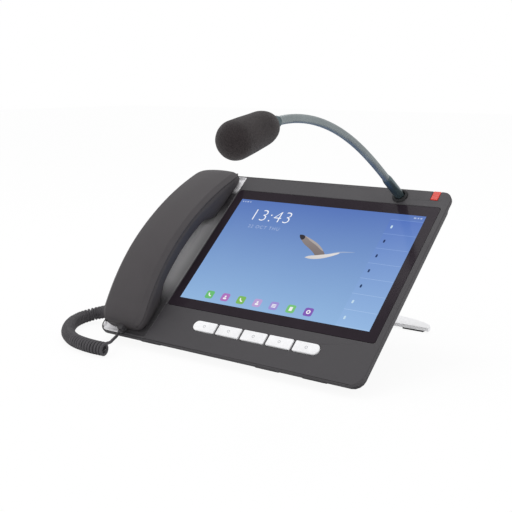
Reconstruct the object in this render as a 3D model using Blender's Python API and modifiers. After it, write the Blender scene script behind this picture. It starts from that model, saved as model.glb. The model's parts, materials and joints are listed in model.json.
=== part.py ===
"""Desk IP phone: a tilted touch-screen body with a corded handset, five keys and a gooseneck microphone.

World frame: +Z up, +X to the user's right, the user sits at -Y, and the desk is Z = 0.
Body frame: x to the right, y up the tilted face from its lower edge, z out of the face.
"""
import math

import bmesh
import bpy
import numpy as np
from mathutils import Matrix, Vector

MM = 0.001

# ---------------------------------------------------------------- driving dimensions
GAP = 0.3 * MM                     # air kept between pieces that touch
WALL = 2.2 * MM                    # moulded casing walls
TILT = math.radians(40.6)          # the face leans back from the desk by this angle
BODY_WIDTH = 308 * MM
BODY_HEIGHT = 224 * MM
CORNER_RADII = (11 * MM, 15 * MM, 11 * MM, 11 * MM)   # lower left, lower right, upper right, upper left
FRONT_EDGE_LIFT = 10 * MM          # lower edge of the face above the desk
COVER_THICKNESS = 4.5 * MM
STANCE_DEPTH = 252 * MM            # lower edge of the face to the heel of the stand

# screen
GLASS_WIDTH = 237.3 * MM
GLASS_HEIGHT = 158.2 * MM
GLASS_RIGHT_MARGIN = 5.9 * MM      # glass edge to body edge
GLASS_LIFT = 45.3 * MM             # lower glass edge above the lower body edge
GLASS_THICKNESS = 1.5 * MM
GLASS_RECESS = 0.2 * MM
PANEL_WIDTH = 229 * MM
PANEL_HEIGHT = 149 * MM
PANEL_THICKNESS = 3.6 * MM
CHASSIS_WIDTH = 214 * MM
CHASSIS_LOW = 14 * MM
CHASSIS_HIGH = 213 * MM
CHASSIS_THICKNESS = 1.2 * MM
CHASSIS_RIB = 6 * MM
POST_RADIUS = 3.2 * MM             # posts of the front cover that the chassis is fixed to
POST_INSET = 4 * MM
STANDOFF_RADIUS = 2.6 * MM
STANDOFF_HEIGHT = 3 * MM           # main board behind the chassis
BOARD_THICKNESS = 1.6 * MM
MAIN_BOARD_WIDTH = 150 * MM
MAIN_BOARD_HEIGHT = 104 * MM
SHIELD_THICKNESS = 3 * MM

# cradle and handset
TRAY_MARGIN = 1.4 * MM             # dark rim left round the tray
TRAY_WALL = 1.4 * MM
WELL_DEPTH = 2.6 * MM
HANDSET_LENGTH = 213 * MM
HANDSET_START = 8 * MM             # lower end of the handset above the lower body edge
HANDSET_PEAK = 36 * MM             # highest point of the back's edge above the face
HANDSET_PEAK_AT = 106 * MM
HANDSET_CROWN = 2.4 * MM
HANDSET_HALF_WIDTH = 28 * MM
HANDSET_BACK_HALF_WIDTH = 23 * MM
HANDSET_GRIP_THICKNESS = 22 * MM
HANDSET_WALL = 1.8 * MM
HANDSET_SKIRT = 5.2 * MM           # depth of the back shell's side
FALL_BELOW = 2.45                  # the back's arch falls by this times the distance squared, below its peak
FALL_ABOVE = 1.87                  # and by this above its peak
HANDSET_FACE = -2.2 * MM           # faces of the two heads, below the body's face
LOWER_HEAD_END = 38 * MM
UPPER_HEAD_START = 166 * MM
HEAD_BLEND = 24 * MM
HEAD_ROUNDING = 9 * MM             # rounding of the handset's two ends
EARPIECE_RADIUS = 13 * MM
EARPIECE_THICKNESS = 5 * MM
MOUTHPIECE_RADIUS = 5 * MM
MOUTHPIECE_THICKNESS = 4 * MM
WEIGHT_THICKNESS = 7 * MM
HOOK_WIDTH = 8.8 * MM              # plunger under the handset's upper head
HOOK_LENGTH = 10.8 * MM
HOOK_HEIGHT = 8 * MM
HOOK_CLEARANCE = 0.3 * MM
GUIDE_WALL = 2.8 * MM

# keys
KEY_COUNT = 5
KEY_PITCH = 29.2 * MM
KEY_LENGTH = 26.6 * MM
KEY_HEIGHT = 11.2 * MM
KEY_ROW_LIFT = 27.4 * MM           # centre line of the row above the lower body edge
KEY_PROUD = 1.3 * MM
KEY_TRAVEL = 1.0 * MM
KEY_FLANGE = 1.2 * MM
KEY_FLANGE_REACH = 0.8 * MM        # the flange behind the cover stands out by this
KEY_MAT_THICKNESS = 1.2 * MM
KEY_BOARD_THICKNESS = 2.3 * MM
KEY_CLEARANCE = 0.4 * MM

# gooseneck microphone
MIC_X = 101 * MM
MIC_DROP = 10 * MM                 # centre of the ferrule below the upper body edge
COLLAR_RADIUS = 8 * MM
COLLAR_HEIGHT = 2.2 * MM
NECK_RADIUS = 3.65 * MM
FERRULE_RADIUS = 4.9 * MM
FERRULE_LENGTH = 36 * MM
SLEEVE_LENGTH = 7 * MM
NECK_LENGTH = 190 * MM
NECK_SEGMENTS = 4
NECK_LEAN = math.radians(15)       # lean of the ferrule from the face's normal, towards the user
NECK_BEND = math.radians(41)       # extra lean gathered along the flexible part
NECK_BEND_POWER = 1.6
HEAD_TILT = math.radians(6)        # the head leans further than the end of the neck
WINDSCREEN_LENGTH = 73.1 * MM
WINDSCREEN_RADIUS = 15.3 * MM
WINDSCREEN_TAIL_RADIUS = 13 * MM
CAPSULE_RADIUS = 4.8 * MM
CAPSULE_LENGTH = 30 * MM
CAPSULE_BASE = 0.8 * MM            # clear of the neck's end, which the head tilts against

# call light
LIGHT_WIDTH = 7.6 * MM
LIGHT_LENGTH = 11 * MM
LIGHT_INSET = 17.2 * MM            # its middle from the right body edge

# back cover
BACK_INSET = 4 * MM                # back cover set in from the face's outline
BACK_SIDE_DEPTH = 17 * MM          # depth of the back cover's side walls below the face
SOCKET_DEPTH = 6.9 * MM            # sockets behind the port board, which set the middle's depth
BACK_CHAMFER = 4 * MM              # slope between its side walls and its rear
BACK_FALL = 3 * MM                 # the rear falls by this between its rim and its middle
MIDDLE_MARGIN = 36 * MM            # raised middle to the body's sides
MIDDLE_LOW = 52 * MM
MIDDLE_HIGH = 186 * MM
SCREW_RADIUS = 1.3 * MM
SCREW_HEAD_RADIUS = 2.6 * MM
SCREW_HEAD_THICKNESS = 1.8 * MM
SCREW_LENGTH = 6 * MM
PORT_BAY_LIFT = 18 * MM            # middle of the port bay above the lower edge of the raised middle
PORT_BAY_WIDTH = 104 * MM
PORT_BAY_HEIGHT = 19 * MM
SOCKET_END_WALL = 0.9 * MM         # left between a socket's mouth and the port board
POWER_BORE = 3.2 * MM
LOUDSPEAKER_X = 78 * MM
LOUDSPEAKER_Y = 92 * MM
LOUDSPEAKER_RADIUS = 19 * MM
SLOT_COUNT = 7
SLOT_PITCH = 6 * MM
SLOT_WIDTH = 2.4 * MM
SLOT_LENGTH = 26 * MM

# stand
HINGE_LIFT = 166 * MM              # hinge axis up the face
HINGE_DROP = 7 * MM                # hinge axis behind the back cover's middle
STAND_THICKNESS = 4 * MM
STAND_TOP_WIDTH = 104 * MM
STAND_FOOT_WIDTH = 118 * MM
FOOT_SPAN = 218 * MM
FOOT_DEPTH = 34 * MM
PAD_THICKNESS = 2 * MM
PAD_LENGTH = 24 * MM
PAD_WIDTH = 9 * MM
PAD_OFFSET = 90 * MM
HINGE_PIN_RADIUS = 2 * MM
HINGE_WALL = 2.2 * MM              # round the pins
HINGE_OFFSET = 42 * MM             # each hinge from the middle
BRACKET_WIDTH = 10 * MM
BRACKET_LENGTH = 11 * MM
BRACKET_END = 4.5 * MM             # bracket past the hinge axis
NOTCH_WIDTH = BRACKET_WIDTH + 2 * MM
NOTCH_REACH = 10 * MM              # room round the hinge axis for a bracket as the stand folds
PIN_LENGTH = 19 * MM
FRONT_FOOT_X = 98 * MM
FRONT_FOOT_LENGTH = 26 * MM
POD_X = 46 * MM                    # pod of the hands-free microphone
POD_LENGTH = 27 * MM

# cord
WIRE_RADIUS = 1.5 * MM
COIL_RADIUS = 7 * MM
SOCKET_LIFT = 58 * MM              # handset socket up the left side
SOCKET_DROP = 10 * MM
PLUG_WIDTH = 7.6 * MM
PLUG_HEIGHT = 6.0 * MM
PLUG_LEVEL = 3.3 * MM              # the handset's plug above the face
BASE_PLUG_LENGTH = 13 * MM
HANDSET_PLUG_LENGTH = 9 * MM

COLOURS = {
    "dark_plastic": ((0.088, 0.084, 0.09, 1), 0.42, 0.0),
    "back_plastic": ((0.05, 0.05, 0.053, 1), 0.55, 0.0),
    "handset_plastic": ((0.075, 0.073, 0.077, 1), 0.5, 0.0),
    "silver_plastic": ((0.52, 0.52, 0.53, 1), 0.35, 0.6),
    "glass": ((0.02, 0.018, 0.02, 1), 0.08, 0.0),
    "panel": ((0.2, 0.33, 0.62, 1), 0.3, 0.0),
    "steel": ((0.55, 0.55, 0.56, 1), 0.35, 1.0),
    "board": ((0.03, 0.16, 0.07, 1), 0.5, 0.0),
    "rubber": ((0.02, 0.02, 0.022, 1), 0.85, 0.0),
    "white_key": ((0.86, 0.86, 0.86, 1), 0.35, 0.0),
    "red_light": ((0.6, 0.06, 0.03, 1), 0.3, 0.0),
    "neck_metal": ((0.11, 0.14, 0.15, 1), 0.35, 0.8),
    "foam": ((0.035, 0.031, 0.032, 1), 0.95, 0.0),
    "stand_metal": ((0.78, 0.78, 0.78, 1), 0.4, 0.7),
    "cord": ((0.05, 0.05, 0.052, 1), 0.55, 0.0),
}

# ---------------------------------------------------------------- worked-out places
FACE_CENTRE_Y = BODY_HEIGHT / 2
GLASS_RIGHT = BODY_WIDTH / 2 - GLASS_RIGHT_MARGIN
GLASS_LEFT = GLASS_RIGHT - GLASS_WIDTH
GLASS_TOP = GLASS_LIFT + GLASS_HEIGHT
SCREEN_X = (GLASS_LEFT + GLASS_RIGHT) / 2
SCREEN_Y = GLASS_LIFT + GLASS_HEIGHT / 2
TRAY_LEFT = -BODY_WIDTH / 2 + TRAY_MARGIN
TRAY_RIGHT = GLASS_LEFT - 1.8 * MM
HANDSET_X = (TRAY_LEFT + TRAY_RIGHT) / 2
HANDSET_END = HANDSET_START + HANDSET_LENGTH
MIC_LIFT = BODY_HEIGHT - MIC_DROP
LIGHT_X = BODY_WIDTH / 2 - LIGHT_INSET
HOOK_X = HANDSET_X + 10 * MM
HOOK_Y = UPPER_HEAD_START + 14 * MM
PANEL_FRONT = -GLASS_RECESS - GLASS_THICKNESS - GAP
PANEL_BACK = PANEL_FRONT - PANEL_THICKNESS
KEY_SEAT = -COVER_THICKNESS - GAP
KEY_MAT_FRONT = KEY_SEAT - KEY_FLANGE - KEY_TRAVEL - GAP
KEY_BOARD_FRONT = KEY_MAT_FRONT - KEY_MAT_THICKNESS - GAP
CHASSIS_FRONT = KEY_BOARD_FRONT - KEY_BOARD_THICKNESS - GAP
CHASSIS_BACK = CHASSIS_FRONT - CHASSIS_THICKNESS
BOARD_FRONT = CHASSIS_BACK - STANDOFF_HEIGHT
BOARD_BACK = BOARD_FRONT - BOARD_THICKNESS
PORT_BOARD_FRONT = BOARD_BACK - SHIELD_THICKNESS - 3 * GAP
SOCKET_TAIL = PORT_BOARD_FRONT - BOARD_THICKNESS - GAP
SOCKET_FACE = SOCKET_TAIL - SOCKET_DEPTH
BACK_DEPTH = -SOCKET_FACE + WALL / 2   # depth of the back cover's raised middle below the face
MIDDLE_WIDTH = BODY_WIDTH - 2 * MIDDLE_MARGIN
PORT_BAY_Y = MIDDLE_LOW + PORT_BAY_LIFT
POST_X = CHASSIS_WIDTH / 2 - POST_INSET
CHASSIS_POSTS = [
    (SCREEN_X - POST_X, GLASS_LIFT - 5 * MM),
    (SCREEN_X + POST_X, GLASS_LIFT - 5 * MM),
    (SCREEN_X - POST_X, GLASS_TOP + 5 * MM),
    (SCREEN_X + POST_X - 46 * MM, GLASS_TOP + 5 * MM),
]
CORNER_SCREWS = [
    (-BODY_WIDTH / 2 + 12 * MM, 30 * MM),
    (BODY_WIDTH / 2 - 11 * MM, 16 * MM),
    (-BODY_WIDTH / 2 + 12 * MM, 150 * MM),
    (BODY_WIDTH / 2 - 13 * MM, BODY_HEIGHT - 24 * MM),
]


def body_point(x, y, z):
    """World place of a point given in the body frame."""
    return Vector((
        x,
        FACE_FRONT_Y + y * math.cos(TILT) - z * math.sin(TILT),
        FRONT_EDGE_LIFT + y * math.sin(TILT) + z * math.cos(TILT),
    ))


def neck_point(distance):
    """Point and lean of the microphone's centre line, in the body frame, at a distance from the face.

    The lean from the face's normal is constant along the ferrule and then grows by a power law.
    """
    steps = 120
    flexible = distance - FERRULE_LENGTH
    lean = NECK_LEAN
    if flexible > 0:
        lean += NECK_BEND * (min(flexible, NECK_LENGTH) / NECK_LENGTH) ** NECK_BEND_POWER
    along = (np.arange(steps) + 0.5) * distance / steps
    share = np.clip((along - FERRULE_LENGTH) / NECK_LENGTH, 0, 1)
    leans = NECK_LEAN + NECK_BEND * share ** NECK_BEND_POWER
    forward = float(np.sin(leans).sum() * distance / steps)
    rise = float(np.cos(leans).sum() * distance / steps)
    return Vector((MIC_X, MIC_LIFT - forward, rise)), lean


def microphone_reach():
    """How far the windscreen's nose stands in front of the lower edge of the face."""
    tail, lean = neck_point(FERRULE_LENGTH + NECK_LENGTH)
    lean += HEAD_TILT
    axis = Vector((0, -math.sin(lean), math.cos(lean)))
    nose = tail + axis * (WINDSCREEN_LENGTH - WINDSCREEN_RADIUS)
    forward = -(nose.y * math.cos(TILT) - nose.z * math.sin(TILT))
    return forward + WINDSCREEN_RADIUS


FACE_FRONT_Y = (microphone_reach() - STANCE_DEPTH) / 2

# The cord lies on the desk to the left of the phone: its route from the socket to the handset.
COIL_ROUTE = [
    (-175.6, -26.1, 21.6),
    (-179.5, -24.8, 17.2),
    (-187.0, -22.6, 14.2),
    (-195.2, -22.3, 11.8),
    (-202.6, -26.0, 9.8),
    (-207.2, -33.0, 8.3),
    (-208.0, -43.0, 7.4),
    (-202.6, -57.5, 7.2),
    (-190.6, -74.6, 7.2),
    (-173.0, -91.5, 7.2),
    (-151.4, -103.6, 7.2),
    (-133.0, -108.1, 7.2),
    (-116.5, -109.2, 7.2),
    (-102.5, -108.4, 7.2),
]
HANDSET_LEAD_ROUTE = [
    (-100.1, -108.4, 12.6),
    (-100.9, -103.4, 13.3),
    (-104.2, -97.0, 13.4),
    (-109.2, -88.8, 13.0),
    (-115.0, -80.6, 12.1),
]


# ---------------------------------------------------------------- tools
def clear_scene():
    """Remove whatever the scene holds."""
    for scene_object in list(bpy.data.objects):
        bpy.data.objects.remove(scene_object, do_unlink=True)


def material(name):
    """The named Principled material, made once."""
    found = bpy.data.materials.get(name)
    if found:
        return found
    made = bpy.data.materials.new(name)
    made.use_nodes = True
    colour, roughness, metallic = COLOURS[name]
    shader = made.node_tree.nodes["Principled BSDF"]
    shader.inputs["Base Color"].default_value = colour
    shader.inputs["Roughness"].default_value = roughness
    shader.inputs["Metallic"].default_value = metallic
    made.diffuse_color = colour
    return made


def add_mesh(name, mesh_or_bmesh, finish, parent, location=(0, 0, 0), collection=None):
    """Put a mesh in the scene under a parent, with its own copy of a finish."""
    if isinstance(mesh_or_bmesh, bmesh.types.BMesh):
        mesh = bpy.data.meshes.new(name)
        mesh_or_bmesh.to_mesh(mesh)
        mesh_or_bmesh.free()
    else:
        mesh = mesh_or_bmesh
        mesh.name = name
    piece = bpy.data.objects.new(name, mesh)
    (collection or PARTS).objects.link(piece)
    piece.parent = parent
    piece.location = location
    if finish:
        mesh.materials.clear()
        mesh.materials.append(material(finish))
    return piece


def add_empty(name, parent, location=(0, 0, 0), rotation=(0, 0, 0)):
    """A frame that pieces are placed in."""
    empty = bpy.data.objects.new(name, None)
    PARTS.objects.link(empty)
    empty.parent = parent
    empty.location = location
    empty.rotation_euler = rotation
    empty.empty_display_size = 0.01
    return empty


def box_bmesh(size, centre=(0, 0, 0)):
    """An upright box."""
    shape = bmesh.new()
    bmesh.ops.create_cube(shape, size=1.0)
    bmesh.ops.scale(shape, vec=size, verts=shape.verts)
    bmesh.ops.translate(shape, vec=centre, verts=shape.verts)
    return shape


def add_box(name, size, centre, finish, parent, location=(0, 0, 0), bevel=0.0):
    """A box, with its edges rounded if a bevel is given."""
    piece = add_mesh(name, box_bmesh(size, centre), finish, parent, location)
    if bevel:
        add_bevel(piece, bevel)
    return piece


def add_bevel(piece, width, segments=2, angle=math.radians(40)):
    """Round a piece's sharp edges."""
    rounding = piece.modifiers.new("rounding", "BEVEL")
    rounding.width = width
    rounding.segments = segments
    rounding.limit_method = "ANGLE"
    rounding.angle_limit = angle


def shade_round(piece):
    """Smooth shading with sharp edges kept."""
    piece.data.shade_smooth()
    piece.data.set_sharp_from_angle(angle=math.radians(35))


def cylinder_bmesh(radius, low, high, centre=(0, 0), sides=20):
    """An upright cylinder between two heights."""
    shape = bmesh.new()
    bmesh.ops.create_cone(shape, cap_ends=True, segments=sides, radius1=radius, radius2=radius,
                          depth=high - low)
    bmesh.ops.translate(shape, vec=(centre[0], centre[1], (low + high) / 2), verts=shape.verts)
    return shape


def add_cylinder(name, radius, low, high, finish, parent, centre=(0, 0), location=(0, 0, 0), sides=20):
    """An upright cylinder as a piece."""
    piece = add_mesh(name, cylinder_bmesh(radius, low, high, centre, sides), finish, parent, location)
    shade_round(piece)
    return piece


def lay_along_x(shape):
    """Turn an upright shape so that its axis runs along x."""
    bmesh.ops.rotate(shape, cent=(0, 0, 0), matrix=Matrix.Rotation(math.radians(90), 3, "Y"),
                     verts=shape.verts)
    return shape


def boolean(piece, other_bmesh, operation, parent, location=(0, 0, 0), rotation=(0, 0, 0)):
    """Cut a shape from a piece, or join it to the piece."""
    tool = add_mesh(f"{piece.name}_{operation.lower()}", other_bmesh, None, parent, location, CUTTERS)
    tool.rotation_euler = rotation
    tool.hide_render = True
    tool.display_type = "WIRE"
    step = piece.modifiers.new(operation.lower(), "BOOLEAN")
    step.operation = operation
    step.solver = "EXACT"
    step.object = tool
    return tool


def rounded_outline(left, right, low, high, radii, steps=5):
    """Points round a rectangle whose corners are arcs: lower left, lower right, upper right, upper left."""
    centres = [
        (left + radii[0], low + radii[0], math.pi),
        (right - radii[1], low + radii[1], 1.5 * math.pi),
        (right - radii[2], high - radii[2], 0.0),
        (left + radii[3], high - radii[3], 0.5 * math.pi),
    ]
    points = []
    for (cx, cy, start), radius in zip(centres, radii):
        for step in range(steps + 1):
            angle = start + 0.5 * math.pi * step / steps
            points.append((cx + radius * math.cos(angle), cy + radius * math.sin(angle)))
    return points


def add_plate(name, outlines, low, high, finish, parent, location=(0, 0, 0)):
    """A flat plate from closed outlines: the first is its edge and the others are its windows."""
    curve = bpy.data.curves.new(name, "CURVE")
    curve.dimensions = "2D"
    curve.fill_mode = "BOTH"
    curve.extrude = (high - low) / 2
    for outline in outlines:
        spline = curve.splines.new("POLY")
        spline.points.add(len(outline) - 1)
        for point, (x, y) in zip(spline.points, outline):
            point.co = (x, y, 0, 1)
        spline.use_cyclic_u = True
    flat = bpy.data.objects.new(name, curve)
    PARTS.objects.link(flat)
    evaluated = flat.evaluated_get(bpy.context.evaluated_depsgraph_get())
    solid = bmesh.new()
    solid.from_mesh(bpy.data.meshes.new_from_object(evaluated))
    bmesh.ops.remove_doubles(solid, verts=solid.verts, dist=1e-6)
    bmesh.ops.translate(solid, vec=(0, 0, (low + high) / 2), verts=solid.verts)
    bpy.data.objects.remove(flat, do_unlink=True)
    return add_mesh(name, solid, finish, parent, location)


def loft_bmesh(rings, closed=True, cap_first=True, cap_last=True):
    """Skin a row of equal-count rings, which turn anticlockwise seen from the last ring's far side."""
    shape = bmesh.new()
    rows = [[shape.verts.new(point) for point in ring] for ring in rings]
    count = len(rings[0])
    spans = count if closed else count - 1
    for lower, upper in zip(rows, rows[1:]):
        for index in range(spans):
            following = (index + 1) % count
            shape.faces.new((lower[index], lower[following], upper[following], upper[index]))
    if cap_first:
        shape.faces.new(list(reversed(rows[0])))
    if cap_last:
        shape.faces.new(rows[-1])
    return shape


def add_tube(name, points, radius, finish, parent, location=(0, 0, 0), radii=None, resolution=2):
    """A round bar along points, whose radius may change from point to point."""
    curve = bpy.data.curves.new(name, "CURVE")
    curve.dimensions = "3D"
    curve.bevel_depth = radius
    curve.bevel_resolution = resolution
    curve.use_fill_caps = True
    spline = curve.splines.new("POLY")
    spline.points.add(len(points) - 1)
    for index, point in enumerate(points):
        spline.points[index].co = (*point, 1)
        spline.points[index].radius = radii[index] if radii else 1.0
    piece = bpy.data.objects.new(name, curve)
    PARTS.objects.link(piece)
    piece.parent = parent
    piece.location = location
    curve.materials.append(material(finish))
    return piece


def add_turned(name, profile, finish, parent, location=(0, 0, 0), steps=24):
    """A turned piece from a profile of (radius, height) points that runs down its outer side."""
    outline = bmesh.new()
    points = [outline.verts.new((radius, 0, height)) for radius, height in profile]
    for start, end in zip(points, points[1:]):
        outline.edges.new((start, end))
    piece = add_mesh(name, outline, finish, parent, location)
    turning = piece.modifiers.new("turning", "SCREW")
    turning.steps = steps
    turning.render_steps = steps
    turning.use_merge_vertices = True
    turning.merge_threshold = 0.00001
    turning.use_normal_calculate = False
    shade_round(piece)
    return piece


def smooth_points(route, spacing):
    """Evenly spaced points on the Catmull-Rom curve through a route."""
    knots = np.array(route, dtype=float)
    padded = np.vstack([2 * knots[0] - knots[1], knots, 2 * knots[-1] - knots[-2]])
    fine = []
    for index in range(len(knots) - 1):
        before, start, end, after = padded[index:index + 4]
        for t in np.linspace(0, 1, 16, endpoint=False):
            fine.append(0.5 * (2 * start + (end - before) * t
                               + (2 * before - 5 * start + 4 * end - after) * t ** 2
                               + (3 * start - before - 3 * end + after) * t ** 3))
    fine.append(knots[-1])
    fine = np.array(fine)
    lengths = np.concatenate([[0], np.cumsum(np.linalg.norm(np.diff(fine, axis=0), axis=1))])
    count = max(3, round(lengths[-1] / spacing) + 1)
    wanted = np.linspace(0, lengths[-1], count)
    return np.stack([np.interp(wanted, lengths, fine[:, axis]) for axis in range(3)], axis=1)


def smooth_step(low, high, value):
    """0 below low, 1 above high, with a smooth rise between."""
    share = np.clip((value - low) / (high - low), 0, 1)
    return share * share * (3 - 2 * share)


# ---------------------------------------------------------------- body
def key_place(index):
    """Centre of a key in the body frame, at the face."""
    return SCREEN_X + (index - (KEY_COUNT - 1) / 2) * KEY_PITCH, KEY_ROW_LIFT


def key_radii(index, grow=0.0):
    """Corner radii of a key: the two ends of the row are round."""
    small = 1.0 * MM + grow
    large = KEY_HEIGHT / 2 - 0.2 * MM + grow
    left = large if index == 0 else small
    right = large if index == KEY_COUNT - 1 else small
    return left, right, right, left


def key_outline(index, grow=0.0):
    """Outline of a key about its own centre, grown outwards."""
    half_x = KEY_LENGTH / 2 + grow
    half_y = KEY_HEIGHT / 2 + grow
    return rounded_outline(-half_x, half_x, -half_y, half_y, key_radii(index, grow), steps=4)


def make_front_cover(body):
    """Dark face plate with windows for the tray, glass, keys, light and microphone, and its posts."""
    outline = rounded_outline(-BODY_WIDTH / 2, BODY_WIDTH / 2, 0, BODY_HEIGHT, CORNER_RADII, 6)
    glass = rounded_outline(GLASS_LEFT - GAP, GLASS_RIGHT + GAP, GLASS_LIFT - GAP, GLASS_TOP + GAP,
                            [3 * MM] * 4, 3)
    tray = rounded_outline(TRAY_LEFT - GAP, TRAY_RIGHT + GAP, TRAY_MARGIN - GAP,
                           BODY_HEIGHT - TRAY_MARGIN + GAP,
                           [CORNER_RADII[0] - TRAY_MARGIN, 0.6 * MM, 0.6 * MM, CORNER_RADII[3] - TRAY_MARGIN])
    windows = [outline, glass, tray]
    for index in range(KEY_COUNT):
        x, y = key_place(index)
        windows.append([(x + px, y + py) for px, py in key_outline(index, KEY_CLEARANCE)])
    cover = add_plate("front_cover", windows, -COVER_THICKNESS, 0, "dark_plastic", body)
    boolean(cover, cylinder_bmesh(FERRULE_RADIUS + 0.6 * MM, -8 * MM, 4 * MM, (MIC_X, MIC_LIFT), 24),
            "DIFFERENCE", body)
    boolean(cover, box_bmesh((LIGHT_WIDTH + 2 * GAP, LIGHT_LENGTH + 4 * MM, 12 * MM),
                             (LIGHT_X, BODY_HEIGHT - LIGHT_LENGTH / 2 + 2 * MM - GAP, 0)),
            "DIFFERENCE", body)
    for x, y in CHASSIS_POSTS:
        post = cylinder_bmesh(POST_RADIUS, CHASSIS_FRONT + GAP, -COVER_THICKNESS + 1 * MM, (x, y), 12)
        boolean(cover, post, "UNION", body)


def make_screen(body):
    """Touch glass, display panel, chassis plate and the main board behind them."""
    add_plate("touch_glass",
              [rounded_outline(GLASS_LEFT, GLASS_RIGHT, GLASS_LIFT, GLASS_TOP, [2.7 * MM] * 4, 3)],
              -GLASS_RECESS - GLASS_THICKNESS, -GLASS_RECESS, "glass", body)
    add_box("display_panel", (PANEL_WIDTH, PANEL_HEIGHT, PANEL_THICKNESS),
            (SCREEN_X, SCREEN_Y, (PANEL_FRONT + PANEL_BACK) / 2), "panel", body)
    chassis = add_box("chassis_plate",
                      (CHASSIS_WIDTH, CHASSIS_HIGH - CHASSIS_LOW, CHASSIS_THICKNESS),
                      (SCREEN_X, (CHASSIS_HIGH + CHASSIS_LOW) / 2, (CHASSIS_FRONT + CHASSIS_BACK) / 2),
                      "steel", body)
    for side_x in (-1, 1):
        for level in (SCREEN_Y - 40 * MM, SCREEN_Y + 40 * MM):
            centre = (SCREEN_X + side_x * 64 * MM, level)
            standoff_top = CHASSIS_BACK + CHASSIS_THICKNESS / 2
            standoff = cylinder_bmesh(STANDOFF_RADIUS, BOARD_FRONT + GAP, standoff_top, centre, 10)
            boolean(chassis, standoff, "UNION", body)
    rib_front = PANEL_BACK - GAP
    rib_back = CHASSIS_FRONT - CHASSIS_THICKNESS / 2
    rib = box_bmesh((PANEL_WIDTH - 60 * MM, CHASSIS_RIB, rib_front - rib_back),
                    (SCREEN_X, SCREEN_Y, (rib_front + rib_back) / 2))
    boolean(chassis, rib, "UNION", body)
    add_box("main_board", (MAIN_BOARD_WIDTH, MAIN_BOARD_HEIGHT, BOARD_THICKNESS),
            (SCREEN_X, SCREEN_Y, (BOARD_FRONT + BOARD_BACK) / 2), "board", body)
    add_box("processor_shield", (34 * MM, 30 * MM, SHIELD_THICKNESS),
            (SCREEN_X + 12 * MM, SCREEN_Y + 20 * MM, BOARD_BACK - GAP - SHIELD_THICKNESS / 2), "steel", body)


def make_keys(body):
    """Five sprung keys, each on its own origin, with the mat and board they press on."""
    row_length = KEY_PITCH * KEY_COUNT + 8 * MM
    add_box("key_mat", (row_length, KEY_HEIGHT + 4.8 * MM, KEY_MAT_THICKNESS),
            (SCREEN_X, KEY_ROW_LIFT, KEY_MAT_FRONT - KEY_MAT_THICKNESS / 2), "rubber", body)
    add_box("key_board", (row_length, KEY_HEIGHT + 5.8 * MM, KEY_BOARD_THICKNESS),
            (SCREEN_X, KEY_ROW_LIFT, KEY_BOARD_FRONT - KEY_BOARD_THICKNESS / 2), "board", body)
    for index in range(KEY_COUNT):
        x, y = key_place(index)
        flange = key_outline(index, KEY_FLANGE_REACH)
        stem = key_outline(index)
        crown = key_outline(index, -0.5 * MM)
        rings = [
            [(px, py, KEY_SEAT - KEY_FLANGE) for px, py in flange],
            [(px, py, KEY_SEAT) for px, py in flange],
            [(px, py, KEY_SEAT) for px, py in stem],
            [(px, py, KEY_PROUD - 0.5 * MM) for px, py in stem],
            [(px, py, KEY_PROUD) for px, py in crown],
        ]
        add_mesh(f"key_{index + 1}", loft_bmesh(rings), "white_key", body, (x, y, 0))


def make_call_light(body):
    """Red light pipe over the top edge."""
    pipe = box_bmesh((LIGHT_WIDTH, LIGHT_LENGTH, COVER_THICKNESS),
                     (LIGHT_X, BODY_HEIGHT - LIGHT_LENGTH / 2, -COVER_THICKNESS / 2))
    add_mesh("call_light", pipe, "red_light", body)


def tray_level(x, y):
    """Height of the cradle tray's top: flat, with one well for each head of the handset."""
    across = 1 - smooth_step(HANDSET_HALF_WIDTH + 0.4 * MM, HANDSET_HALF_WIDTH + 2.2 * MM, abs(x - HANDSET_X))
    lower = (smooth_step(TRAY_MARGIN + 1 * MM, HANDSET_START - 1.5 * MM, y)
             * (1 - smooth_step(LOWER_HEAD_END + 5 * MM, LOWER_HEAD_END + 16 * MM, y)))
    upper = (smooth_step(UPPER_HEAD_START - 16 * MM, UPPER_HEAD_START - 5 * MM, y)
             * (1 - smooth_step(HANDSET_END + 0.3 * MM, BODY_HEIGHT - TRAY_MARGIN - 0.2 * MM, y)))
    return -0.4 * MM - WELL_DEPTH * across * max(lower, upper)


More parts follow.
